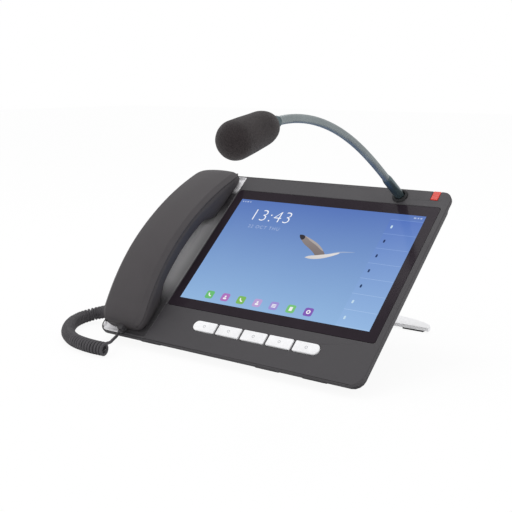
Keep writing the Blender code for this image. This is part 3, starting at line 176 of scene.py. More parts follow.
class Tree:
    """A material's node tree with one Principled BSDF and short ways to add to it."""

    def __init__(self, name: str) -> None:
        """Make the material with only its output and its Principled BSDF."""
        self.material = bpy.data.materials.new(f"finish_{name}")
        self.material.use_nodes = True
        self.nodes = self.material.node_tree.nodes
        self.links = self.material.node_tree.links
        self.shader = self.nodes["Principled BSDF"]

    def node(self, kind: str, settings: dict[str, object] | None = None,
             inputs: dict[object, object] | None = None, output: object = 0) -> Value:
        """Add any node.

        Args:
            kind: The node's type.
            settings: Its own settings, set before its sockets.
            inputs: Values or links of its sockets, by name or number.
            output: Name or number of the socket that is returned.

        Returns:
            The chosen output.
        """
        made = self.nodes.new(kind)
        for key, value in (settings or {}).items():
            setattr(made, key, value)
        for key, value in (inputs or {}).items():
            self.feed(made.inputs[key], value)
        return Value(self, made.outputs[output])

    def feed(self, socket: bpy.types.NodeSocket, value: object) -> None:
        """Link a Value to a socket, or set the socket's number or colour."""
        if isinstance(value, Value):
            self.links.new(value.socket, socket)
        elif isinstance(value, tuple) and len(value) == 3 and socket.type == "RGBA":
            socket.default_value = (*value, 1.0)
        else:
            socket.default_value = value

    def place(self) -> Value:
        """Object coordinates, which are row frame metres on every piece."""
        return self.node("ShaderNodeTexCoord", output="Object")

    def on_face(self) -> tuple[Value, Value]:
        """How far right of the middle a point is, and how far up the face from its lower edge."""
        split = self.node("ShaderNodeSeparateXYZ", inputs={0: self.place()})
        x, y, z = (Value(self, output) for output in split.socket.node.outputs)
        return x, (y - FACE.origin_y) * math.cos(FACE.tilt) + (z - FACE.origin_z) * math.sin(FACE.tilt)

    def noise(self, scale: float, detail: float = 3.0, roughness: float = 0.55) -> Value:
        """Soft noise, with its scale in cells a metre."""
        inputs = {"Vector": self.place(), "Scale": scale, "Detail": detail, "Roughness": roughness}
        return self.node("ShaderNodeTexNoise", inputs=inputs)

    def mix(self, mask: object, first: object, second: object) -> Value:
        """Blend two colours by a mask from 0 to 1."""
        return self.node("ShaderNodeMix", {"data_type": "RGBA"}, {0: mask, 6: first, 7: second}, 2)

    def bump(self, height: Value, depth: float, strength: float) -> Value:
        """Bump of a height pattern, with its depth in metres."""
        return self.node("ShaderNodeBump", inputs={"Strength": strength, "Distance": depth, "Height": height})

    def surface(self, **values: object) -> bpy.types.Material:
        """Set the Principled BSDF's sockets, named with underscores, and return the material."""
        for key, value in values.items():
            self.feed(self.shader.inputs[key.replace("_", " ")], value)
        return self.material


def linear(red: int, green: int, blue: int) -> Colour:
    """A colour as the eye reads it, from 0 to 255, as linear light."""
    shares = (np.array([red, green, blue]) / 255 + 0.055) / 1.055
    return tuple(float(share) for share in np.maximum(shares, 0) ** 2.4)


def scaled(colour: Colour, factor: float) -> Colour:
    """A colour made lighter or darker."""
    return tuple(min(1.0, part * factor) for part in colour)


# ---------------------------------------------------------------- finishes
@dataclass(frozen=True)
class MouldedPlastic:
    """Spark-textured moulding: a fine grain, faint mottling and a rubbed sheen in patches."""

    name: str
    colour: Colour
    roughness: float = 0.46
    grain: float = 1500.0
    depth: float = 0.05 * MM
    specular: float = 0.35
    coat: float = 0.0

    def material(self) -> bpy.types.Material:
        """Build the material."""
        tree = Tree(self.name)
        patches = tree.noise(38.0, 4.0)
        fine = tree.noise(self.grain, 2.0, 0.6)
        tone = patches.span(0.3, 0.7) * 0.55 + fine.span(0.3, 0.7) * 0.45
        colour = tree.mix(tone, scaled(self.colour, 0.9), scaled(self.colour, 1.1))
        rough = self.roughness - 0.05 + 0.1 * patches.span(0.35, 0.68) + 0.05 * fine
        return tree.surface(Base_Color=colour, Roughness=rough, Normal=tree.bump(fine, self.depth, 0.5),
                            Specular_IOR_Level=self.specular, Coat_Weight=self.coat, Coat_Roughness=0.18)


@dataclass(frozen=True)
class TrayPaint:
    """Satin silver paint with fine flake, darkened round the two wells to about the face's grey by painted
    shadow, and darkened across the strip towards the glass by painted shade and reflection.
    """

    name: str = "tray_silver_painted_shade"
    light: Colour = linear(244, 243, 246)
    near_grip: Colour = linear(240, 239, 241)
    # darkest end of the strip: painted shade and reflection towards the glass
    painted_shade_near_glass: Colour = linear(132, 131, 133)
    # painted shadow of the handset's heads round the two wells
    painted_well_shade: Colour = linear(68, 66, 69)

    def material(self) -> bpy.types.Material:
        """Build the material, with its silver and its painted shade and reflection laid by region along and
        across the face.
        """
        tree = Tree(self.name)
        x, up = tree.on_face()
        low, high = FACE.extent("handset_back_shell")
        middle = float(low[0] + high[0]) / 2
        flake = tree.noise(2600.0, 1.0, 0.7)
        brushed = tree.noise(260.0, 3.0)
        left = 1.0 - x.span(low[0] - 1 * MM, low[0] + 1 * MM)
        top = up.span(high[1] - 22 * MM, high[1] - 15 * MM)
        corner = (1.0 - up.span(16 * MM, 30 * MM)) * (1.0 - x.span(middle - 6 * MM, middle + 2 * MM))
        silver = 1.0 - (1.0 - left) * (1.0 - top) * (1.0 - corner)
        grip = up.span(44 * MM, 78 * MM) * (1.0 - up.span(148 * MM, 184 * MM))
        # the strip between the handset and the glass grades from the silver near the grip to painted shade
        # and reflection near the glass
        painted_strip_shade = tree.mix(x.span(middle + 8 * MM, middle + 31 * MM), self.near_grip, self.painted_shade_near_glass)
        # away from the strip the two wells take the painted shadow; the silver mask leaves the plain silver
        # at the left edge, the top and the lower corner
        colour = tree.mix(silver, tree.mix(grip, self.painted_well_shade, painted_strip_shade), self.light)
        colour = tree.mix(flake.span(0.55, 0.8) * 0.25, colour, (0.85, 0.85, 0.85))
        return tree.surface(Base_Color=colour, Metallic=0.08, Roughness=0.4 + 0.12 * brushed,
                            Normal=tree.bump(flake, 0.02 * MM, 0.4))


@dataclass(frozen=True)
class Gloss:
    """Clear glossy surface over one colour, such as glass or a light pipe."""

    name: str
    colour: Colour
    roughness: float = 0.08
    specular: float = 0.25
    glow: float = 0.0

    def material(self) -> bpy.types.Material:
        """Build the material, with the faint smears of a handled surface."""
        tree = Tree(self.name)
        smears = tree.noise(24.0, 5.0, 0.6)
        speck = tree.noise(900.0, 1.0)
        colour = tree.mix(smears.span(0.3, 0.75), self.colour, scaled(self.colour, 1.25))
        return tree.surface(Base_Color=colour, Roughness=self.roughness + 0.07 * smears.span(0.45, 0.75),
                            Normal=tree.bump(speck, 0.002 * MM, 0.1), Specular_IOR_Level=self.specular,
                            Emission_Color=(*self.colour, 1.0), Emission_Strength=self.glow)


@dataclass(frozen=True)
class Lit:
    """Part of the lit picture: a colour that glows, graded up the face from one tone to another."""

    name: str
    low_colour: Colour
    high_colour: Colour
    low: float = 0.0
    high: float = 1.0
    cell: float = 0.11 * MM

    def material(self) -> bpy.types.Material:
        """Build the material, with a faint cloudiness and the display's fine upright lattice."""
        tree = Tree(self.name)
        x, up = tree.on_face()
        cloud = tree.noise(9.0, 3.0)
        grade = tree.node("ShaderNodeMapRange", {"clamp": True},
                          {"Value": up + 0.012 * (cloud - 0.5), "From Min": self.low, "From Max": self.high})
        colour = tree.mix(grade, self.low_colour, self.high_colour)
        wave = tree.node("ShaderNodeMath", {"operation": "PINGPONG"}, {0: x, 1: self.cell})
        lattice = wave * (1.0 / self.cell)
        glow = tree.mix(lattice * 0.06, colour, (0.0, 0.0, 0.0))
        return tree.surface(Base_Color=(0.005, 0.005, 0.006), Roughness=0.12 + 0.06 * cloud,
                            Specular_IOR_Level=0.03, Emission_Color=glow, Emission_Strength=1.0)


@dataclass(frozen=True)
class Foam:
    """Open-cell foam: a web of lighter struts round small pores that are painted dark as shade inside the
    holes.
    """

    name: str = "open_cell_foam"
    colour: Colour = linear(52, 47, 48)

    def material(self) -> bpy.types.Material:
        """Build the material from two sizes of cells."""
        tree = Tree(self.name)
        cells = tree.node("ShaderNodeTexVoronoi", {"feature": "F1"},
                          {"Vector": tree.place(), "Scale": 1500.0}, "Distance")
        small = tree.noise(3600.0, 2.0, 0.7)
        worn = tree.noise(60.0, 3.0)
        web = cells.span(0.15, 0.75) * 0.7 + small * 0.3
        # the cell pattern is the foam's own; the darker pores are painted shade inside the holes
        dark = tree.mix(web, scaled(self.colour, 1.35), scaled(self.colour, 0.45))
        colour = tree.mix(worn.span(0.4, 0.75) * 0.4, dark, scaled(self.colour, 1.3))
        return tree.surface(Base_Color=colour, Roughness=0.93 + 0.05 * small, Sheen_Weight=0.15,
                            Sheen_Roughness=0.5, Specular_IOR_Level=0.1,
                            Normal=tree.bump(1.0 - web, 0.25 * MM, 0.8))


@dataclass(frozen=True)
class Metal:
    """Plated or cast metal with a fine directional brush."""

    name: str
    colour: Colour
    roughness: float = 0.3
    metallic: float = 1.0
    brush: tuple[float, float, float] = (60.0, 900.0, 900.0)
    blotch: float = 0.12

    def material(self) -> bpy.types.Material:
        """Build the material from stretched noise."""
        tree = Tree(self.name)
        stretched = tree.node("ShaderNodeMapping", inputs={"Vector": tree.place(), "Scale": self.brush})
        lines = tree.node("ShaderNodeTexNoise", inputs={"Vector": stretched, "Scale": 1.0, "Detail": 2.0})
        stain = tree.noise(45.0, 4.0)
        light, dark = scaled(self.colour, 1 + self.blotch), scaled(self.colour, 1 - self.blotch)
        colour = tree.mix(0.6 * stain.span(0.3, 0.75) + 0.4 * lines, dark, light)
        rough = self.roughness + 0.1 * lines + 0.06 * stain.span(0.4, 0.7)
        return tree.surface(Base_Color=colour, Metallic=self.metallic, Roughness=rough,
                            Normal=tree.bump(lines, 0.01 * MM, 0.35))


@dataclass(frozen=True)
class Rubber:
    """Soft matt rubber or cord jacket with a dusty bloom."""

    name: str
    colour: Colour
    roughness: float = 0.62

    def material(self) -> bpy.types.Material:
        """Build the material."""
        tree = Tree(self.name)
        bloom = tree.noise(130.0, 4.0)
        fine = tree.noise(2100.0, 2.0)
        colour = tree.mix(bloom.span(0.4, 0.75), self.colour, scaled(self.colour, 1.35))
        return tree.surface(Base_Color=colour, Roughness=self.roughness + 0.12 * bloom,
                            Specular_IOR_Level=0.35, Normal=tree.bump(fine, 0.03 * MM, 0.4))


@dataclass(frozen=True)
class Board:
    """Printed circuit board: green lacquer over lighter tracks."""

    name: str = "circuit_board"
    lacquer: Colour = (0.02, 0.13, 0.05)

    def material(self) -> bpy.types.Material:
        """Build the material from square cells."""
        tree = Tree(self.name)
        cells = tree.node("ShaderNodeTexVoronoi", {"feature": "DISTANCE_TO_EDGE"},
                          {"Vector": tree.place(), "Scale": 260.0}, "Distance")
        track = 1.0 - cells.span(0.02, 0.06)
        colour = tree.mix(track, self.lacquer, scaled(self.lacquer, 2.0))
        return tree.surface(Base_Color=colour, Roughness=0.35 + 0.1 * track,
                            Normal=tree.bump(track, 0.03 * MM, 0.5))


def made_once(finish: object) -> bpy.types.Material:
    """A finish's material, built the first time that it is asked for."""
    return bpy.data.materials.get(f"finish_{finish.name}") or finish.material()


class Finish(Enum):
    """The finishes that pieces are dressed in."""

    FACE = MouldedPlastic("face_plastic", linear(64, 62, 65), 0.52)
    BACK = MouldedPlastic("back_plastic", linear(60, 59, 62), 0.58, 900.0, 0.09 * MM)
    HANDSET = MouldedPlastic("handset_plastic", linear(71, 68, 70), 0.56, 1700.0, 0.04 * MM, 0.22)
    TRAY = TrayPaint()
    GLASS = Gloss("screen_border", linear(40, 34, 40), 0.14, 0.05)
    PANEL = Gloss("display_panel", linear(60, 80, 120), 0.3)
    KEY = MouldedPlastic("white_key", linear(238, 238, 240), 0.36, 1200.0, 0.02 * MM, 0.4)
    KEY_SIGN = MouldedPlastic("key_sign", linear(176, 178, 182), 0.5)
    CALL_LIGHT = Gloss("call_light", linear(176, 44, 30), 0.25, 0.3, 0.22)
    FOAM = Foam()
    NECK = Metal("gooseneck_metal", linear(132, 140, 142), 0.3, 0.6)
    FERRULE = Metal("ferrule_metal", linear(84, 100, 104), 0.26, 0.6)
    STEEL = Metal("plated_steel", linear(196, 197, 200), 0.32)
    STAND = Metal("stand_casting", linear(240, 240, 242), 0.42, 0.1, (700.0, 700.0, 700.0), 0.03)
    RUBBER = Rubber("black_rubber", linear(38, 38, 40), 0.75)
    CORD = Rubber("cord_jacket", linear(68, 66, 69), 0.5)
    BOARD = Board()

    def material(self) -> bpy.types.Material:
        """The finish's material."""
        return made_once(self.value)


# ---------------------------------------------------------------- mesh tools
def linked(name: str, data: bpy.types.ID) -> bpy.types.Object:
    """A new object of some data, linked to the scene."""
    made = bpy.data.objects.new(name, data)
    bpy.context.scene.collection.objects.link(made)
    return made


def modified(piece: bpy.types.Object, name: str, kind: str, **settings: object) -> None:
    """Add a modifier to a piece, with its settings."""
    modifier = piece.modifiers.new(name, kind)
    for key, value in settings.items():
        setattr(modifier, key, value)


def unit_circle(count: int) -> np.ndarray:
    """Points of a circle of radius 1, anticlockwise."""
    angle = np.linspace(0, 2 * math.pi, count, endpoint=False)
    return np.stack([np.cos(angle), np.sin(angle)], -1)


def grid_faces(rows: int, columns: int, wrap: bool = False) -> np.ndarray:
    """Four-sided faces of a grid of points.

    A face joins a point, the next one in its row, and the two across from them in the following row.

    Args:
        rows: Rows of points.
        columns: Points in a row.
        wrap: Whether a row's last point joins its first.

    Returns:
        An array of faces, four indices each.
    """
    index = np.arange(rows * columns).reshape(rows, columns)
    if wrap:
        index = np.concatenate([index, index[:, :1]], axis=1)
    return np.stack([index[:-1, :-1], index[:-1, 1:], index[1:, 1:], index[1:, :-1]], -1).reshape(-1, 4)


def add_piece(name: str, points: np.ndarray, faces: Sequence[Sequence[int]], finish: Finish,
              body: str, smooth: bool = True, turn_out: bool = True) -> bpy.types.Object:
    """Put a mesh in the scene, dress it and let it ride on a body.

    Args:
        name: The piece's name.
        points: Its points in the row frame.
        faces: Its faces.
        finish: The finish that it is dressed in.
        body: The CAD body that it moves with, or nothing to leave it on no body.
        smooth: Whether it is shaded round, with edges over 35 degrees left sharp.
        turn_out: Whether its faces are turned to point outwards, for a closed mesh.

    Returns:
        The new object.
    """
    mesh = bpy.data.meshes.new(name)
    mesh.from_pydata(points.reshape(-1, 3).tolist(), [], [list(map(int, face)) for face in faces])
    if turn_out:
        shape = bmesh.new()
        shape.from_mesh(mesh)
        bmesh.ops.remove_doubles(shape, verts=shape.verts, dist=0.0005 * MM)
        bmesh.ops.recalc_face_normals(shape, faces=shape.faces)
        shape.to_mesh(mesh)
        shape.free()
    mesh.materials.append(finish.material())
    if smooth:
        mesh.shade_smooth()
        mesh.set_sharp_from_angle(angle=math.radians(35))
    piece = linked(name, mesh)
    if body:
        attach(piece, body)
    return piece


def lofted(rings: np.ndarray, cap: bool = True) -> tuple[np.ndarray, list[list[int]]]:
    """Skin a stack of closed rings, with flat caps on the first and the last.

    Args:
        rings: An array of rings, points and coordinates.
        cap: Whether the two ends are closed.

    Returns:
        The points and the faces.
    """
    count, size = rings.shape[:2]
    faces = grid_faces(count, size, wrap=True).tolist()
    if cap:
        faces.append(list(range(size))[::-1])
        faces.append([(count - 1) * size + step for step in range(size)])
    return rings.reshape(-1, 3), faces


def tube_rings(path: np.ndarray, radii: np.ndarray, sides: int) -> np.ndarray:
    """Rings of a round bar along a path.

    At each point the ring lies across the path's direction t: p + r (cos a n + sin a b), where n is a
    fixed slanting direction less its share along t, made a unit, and b is t crossed with n.

    Args:
        path: The centre line.
        radii: The radius at each of its points.
        sides: Points in a ring.

    Returns:
        An array of rings, points and coordinates.
    """
    along = np.gradient(path, axis=0)
    along /= np.linalg.norm(along, axis=1, keepdims=True)
    slant = np.array([0.83, 0.11, 0.55])
    across = slant - (along @ slant)[:, None] * along
    across /= np.linalg.norm(across, axis=1, keepdims=True)
    third = np.cross(along, across)
    angle = np.linspace(0, 2 * math.pi, sides, endpoint=False)
    cosine, sine = np.cos(angle)[None, :, None], np.sin(angle)[None, :, None]
    ring = cosine * across[:, None, :] + sine * third[:, None, :]
    return path[:, None, :] + radii[:, None, None] * ring


def smooth_route(knots: np.ndarray, spacing: float) -> np.ndarray:
    """Evenly spaced points on the Catmull-Rom curve through a route.

    Between knots b and c, with a before and d after, the curve at t is half of
    2b + (c - a) t + (2a - 5b + 4c - d) t^2 + (3b - a - 3c + d) t^3.
    """
    padded = np.vstack([2 * knots[0] - knots[1], knots, 2 * knots[-1] - knots[-2]])
    a, b, c, d = (padded[start:len(padded) - 3 + start, None, :] for start in range(4))
    t = np.linspace(0, 1, SPAN_SAMPLES, endpoint=False)[None, :, None]
    cubic = 3 * b - a - 3 * c + d
    square = 2 * a - 5 * b + 4 * c - d
    fine = (0.5 * (2 * b + (c - a) * t + square * t ** 2 + cubic * t ** 3)).reshape(-1, 3)
    fine = np.vstack([fine, knots[-1]])
    lengths = np.concatenate([[0], np.cumsum(np.linalg.norm(np.diff(fine, axis=0), axis=1))])
    wanted = np.linspace(0, lengths[-1], max(3, round(lengths[-1] / spacing) + 1))
    return np.stack([np.interp(wanted, lengths, fine[:, axis]) for axis in range(3)], axis=1)


def path_length(path: np.ndarray) -> float:
    """Length of a line of points."""
    return float(np.linalg.norm(np.diff(path, axis=0), axis=1).sum())


def smooth_step(low: float, high: float, value: np.ndarray) -> np.ndarray:
    """0 below low, 1 above high, and the cubic 3s^2 - 2s^3 between."""
    share = np.clip((value - low) / (high - low), 0, 1)
    return share * share * (3 - 2 * share)


def corner_cut(points: np.ndarray, times: int) -> np.ndarray:
    """Round an open line along axis -2 by Chaikin's rule: each span keeps its points at 1/4 and 3/4."""
    for _ in range(times):
        first, second = points[..., :-1, :], points[..., 1:, :]
        cut = np.stack([0.75 * first + 0.25 * second, 0.25 * first + 0.75 * second], axis=-2)
        cut = cut.reshape(*points.shape[:-2], -1, points.shape[-1])
        points = np.concatenate([points[..., :1, :], cut, points[..., -1:, :]], axis=-2)
    return points


def rounded_rectangle(half_x: float, half_y: float, radii: Sequence[float], steps: int = 8) -> np.ndarray:
    """Outline of a rectangle whose corners are arcs, anticlockwise from its lower left corner.

    Each corner is its centre plus its radius times (cos a, sin a) over a quarter turn.

    Args:
        half_x: Half the width.
        half_y: Half the height.
        radii: Radii of the lower left, lower right, upper right and upper left corners.
        steps: Spans in each arc.

    Returns:
        Points with x and y.
    """
    signs = np.array([[-1, -1], [1, -1], [1, 1], [-1, 1]], float)
    radius = np.array(radii, float)[:, None]
    centres = signs * (np.array([[half_x, half_y]]) - radius)
    starts = np.array([1.0, 1.5, 0.0, 0.5])[:, None] * math.pi
    angle = starts + np.linspace(0, math.pi / 2, steps + 1)[None, :]
    arcs = np.stack([np.cos(angle), np.sin(angle)], -1) * radius[:, :, None]
    return (centres[:, None, :] + arcs).reshape(-1, 2)


def dressed_copy(node: str, finish: Finish, body: str, bevel: float, segments: int = 2) -> bpy.types.Object:
    """A CAD node's own shape with merged points and rounded edges, in its place.

    Args:
        node: The CAD node.
        finish: The finish that it is dressed in.
        body: The body that it rides on.
        bevel: Width of the rounding.
        segments: Spans across the rounding.

    Returns:
        The piece that stands for the node.
    """
    shape = bmesh.new()
    shape.from_mesh(frame["nodes"][node].data)
    bmesh.ops.remove_doubles(shape, verts=shape.verts, dist=0.002 * MM)
    mesh = bpy.data.meshes.new(f"{node}_dressed")
    shape.to_mesh(mesh)
    shape.free()
    mesh.materials.append(finish.material())
    mesh.shade_smooth()
    mesh.set_sharp_from_angle(angle=math.radians(30))
    piece = linked(f"{node}_dressed", mesh)
    modified(piece, "rounding", "BEVEL", width=bevel, segments=segments, limit_method="ANGLE",
             angle_limit=math.radians(35), use_clamp_overlap=False)
    modified(piece, "shading", "WEIGHTED_NORMAL", keep_sharp=True)
    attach(piece, body)
    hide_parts(node)
    return piece


def dress(node: str, finish: Finish) -> None:
    """Give a CAD node a finish."""
    for slot in frame["nodes"][node].material_slots:
        slot.material = finish.material()


# ---------------------------------------------------------------- camera, light and floor
@dataclass
class Studio:
    """The camera, the lamps and the floor."""

    place: tuple[float, float, float] = (0.5193, -0.7015, 0.2615)
    azimuth: float = 36.7
    elevation: float = 10.92
    lens: float = 64.7
    sensor: float = 36.0
    floor_half: float = 6.0
    world_strength: float = 0.9
    key_power: float = 7.0
    key_size: float = 0.7
    key_place: tuple[float, float, float] = (-0.35, 0.1, 1.8)
    fill_power: float = 2.4
    fill_size: float = 1.4
    fill_place: tuple[float, float, float] = (1.3, -1.2, 0.9)
    target: tuple[float, float, float] = (0.0, 0.0, 0.08)
    floor_glow: float = 0.92           # share of plain white where the camera looks at the floor

    def camera(self) -> None:
        """Make the camera, level, looking down at the phone from its right."""
        data = bpy.data.cameras.new("camera")
        data.sensor_width = self.sensor
        data.lens = self.lens
        camera = linked("camera", data)
        camera.location = self.place
        camera.rotation_euler = (math.radians(90 - self.elevation), 0.0, math.radians(self.azimuth))
        bpy.context.scene.camera = camera

    def lamp(self, name: str, power: float, size: float, place: tuple[float, float, float]) -> None:
        """Make a square soft lamp that faces the target."""
        data = bpy.data.lights.new(name, "AREA")
        data.energy = power
        data.size = size
        lamp = linked(name, data)
        lamp.location = place
        lamp.rotation_euler = (Vector(self.target) - Vector(place)).to_track_quat("-Z", "Y").to_euler()

    def world(self) -> None:
        """Even pale surroundings, full white where the camera looks straight at them."""
        world = bpy.data.worlds.new("studio")
        bpy.context.scene.world = world
        world.use_nodes = True
        nodes, links = world.node_tree.nodes, world.node_tree.links
        background = nodes["Background"]
        background.inputs["Color"].default_value = (1.0, 1.0, 1.0, 1.0)
        path = nodes.new("ShaderNodeLightPath")
        strength = nodes.new("ShaderNodeMapRange")
        strength.inputs["To Min"].default_value = self.world_strength
        strength.inputs["To Max"].default_value = 1.0
        links.new(path.outputs["Is Camera Ray"], strength.inputs["Value"])
        links.new(strength.outputs["Result"], background.inputs["Strength"])

    def floor(self) -> None:
        """A plain white floor that keeps a soft shadow."""
        half = self.floor_half
        points = np.array([[-half, -half, 0], [half, -half, 0], [half, half, 0], [-half, half, 0]])
        mesh = bpy.data.meshes.new("floor")
        mesh.from_pydata((points - np.array([0, 0, 0.2 * MM])).tolist(), [], [[0, 1, 2, 3]])
        tree = Tree("floor")
        tree.surface(Base_Color=(0.93, 0.93, 0.93), Roughness=0.9, Specular_IOR_Level=0.1)
        glow = tree.node("ShaderNodeEmission", inputs={"Color": (1.0, 1.0, 1.0), "Strength": 1.0})
        seen = tree.node("ShaderNodeLightPath", output="Is Camera Ray")
        shader = Value(tree, tree.shader.outputs[0])
        mixed = tree.node("ShaderNodeMixShader", inputs={0: seen * self.floor_glow, 1: shader, 2: glow})
        tree.links.new(mixed.socket, tree.nodes["Material Output"].inputs["Surface"])
        mesh.materials.append(tree.material)
        floor = linked("floor", mesh)

    def build(self) -> None:
        """Set the whole stage."""
        self.camera()
        self.lamp("key_lamp", self.key_power, self.key_size, self.key_place)
        self.lamp("fill_lamp", self.fill_power, self.fill_size, self.fill_place)
        self.world()
        self.floor()
        bpy.context.scene.view_settings.view_transform = "Standard"


# ---------------------------------------------------------------- cord
@dataclass
class CurlyCord:
    """The handset's cord: a plain lead from the base, a long coil on the desk and a lead to the handset."""

    wire_radius: float = 1.5 * MM
    coil_radius: float = 5.5 * MM      # from the coil's axis to the wire's middle
    pitch: float = 3.8 * MM
    points_per_turn: int = 20
    sides: int = 10
    first_share: float = 0.45          # radius of the first turn, as a share of the coil's
    easing_turns: int = 2              # turns over which the radius rises to the coil's
    coil_route: tuple[tuple[float, float, float], ...] = (
        (-175.6, -26.1, 21.6),
        (-179.5, -24.8, 17.2),
        (-187.0, -22.6, 14.2),
        (-195.2, -22.3, 11.8),
        (-202.6, -26.0, 9.8),
        (-207.2, -33.0, 8.3),
        (-208.0, -43.0, 7.4),
        (-202.6, -57.5, 7.2),
        (-190.6, -74.6, 7.2),
        (-173.0, -91.5, 7.2),
        (-151.4, -103.6, 7.2),
        (-133.0, -108.1, 7.2),
        (-116.5, -109.2, 7.2),
        (-102.5, -108.4, 7.2),
    )
    lead_route: tuple[tuple[float, float, float], ...] = (
        (-100.9, -103.4, 13.3),
        (-104.2, -97.0, 13.4),
        (-109.2, -88.8, 13.0),
        (-115.0, -80.6, 12.1),
    )

    def helix(self) -> np.ndarray:
        """Centre line of the coil.

        It is the axis plus R (cos a n + sin a b), where a grows by a whole turn for each pitch along the
        axis, n is level and b stands across both. R rises smoothly from its first share over two turns.
        """
        axis = smooth_route(np.array(self.coil_route) * MM, 0.25 * MM)
        length = path_length(axis)
        count = int(self.points_per_turn * length / self.pitch)
        share = np.linspace(0, 1, count)
        steps = np.linspace(0, 1, len(axis))
        centre = np.stack([np.interp(share, steps, axis[:, k]) for k in range(3)], axis=1)
        along = np.gradient(centre, axis=0)
        along /= np.linalg.norm(along, axis=1, keepdims=True)
        level = np.cross(along, np.array([0.0, 0.0, 1.0]))
        level /= np.linalg.norm(level, axis=1, keepdims=True)
        third = np.cross(along, level)
        turns = length / self.pitch
        angle = 2 * math.pi * turns * (1 - share) + 1.5 * math.pi
        eased = smooth_step(0, self.easing_turns / turns, share)
        radius = self.coil_radius * (self.first_share + (1 - self.first_share) * eased)
        ring = np.cos(angle)[:, None] * level + np.sin(angle)[:, None] * third
        return centre + radius[:, None] * ring

    def base_lead(self, helix: np.ndarray) -> np.ndarray:
        """Plain lead from the base plug to the start of the coil, where it bends very tightly."""
        low, high = FACE.extent("base_plug")
        middle = (low + high) / 2
        start = FACE.to_world(np.array([[low[0] - GAP, middle[1], middle[2]]]))[0]
        axis = np.array(self.coil_route) * MM
        heading = axis[0] - axis[1]
        heading /= np.linalg.norm(heading)
        turn = helix[1] - helix[0]
        turn /= np.linalg.norm(turn)
        knots = np.array([start, start + np.array([-5.0, -0.8, -1.6]) * MM, axis[0] + heading * 9 * MM,
                          helix[0] - turn * 3.5 * MM, helix[0]])
        return smooth_route(knots, 1.0 * MM)

    def handset_lead(self, start: np.ndarray) -> np.ndarray:
        """Plain lead from the end of the coil to the handset's plug."""
        low, high = FACE.extent("handset_plug")
        middle = (low + high) / 2
        plug = FACE.to_world(np.array([[middle[0], low[1] - GAP, middle[2]]]))[0]
        out = -np.array([0.0, math.cos(FACE.tilt), math.sin(FACE.tilt)])
        knots = np.vstack([start, np.array(self.lead_route) * MM, plug + out * 4 * MM, plug])
        return smooth_route(knots, 1.0 * MM)

    def tube(self, name: str, path: np.ndarray, body: str) -> bpy.types.Object:
        """A round jacket along a path."""
        points, faces = lofted(tube_rings(path, np.full(len(path), self.wire_radius), self.sides))
        return add_piece(name, points, faces, Finish.CORD, body)

    def build(self) -> None:
        """Make the two stretches: the one that lies still on the body and the one that runs to the handset,
        left on no body.
        """
        helix = self.helix()
        lead = self.handset_lead(helix[-1])
        still = np.vstack([self.base_lead(helix)[:-1], helix])
        moving = np.vstack([helix[-3:-1], lead])
        for node in ("base_plug", "handset_plug"):
            dress(node, Finish.CORD)
        coil = self.tube("curly_cord_jacket", still, "body")
        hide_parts("curly_cord", "base_lead")
        end = self.tube("handset_cord_end", moving, "")
        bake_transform(end)
        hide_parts("handset_lead")
        LOG.info("cord: %.3f m in all", path_length(still) + path_length(lead))


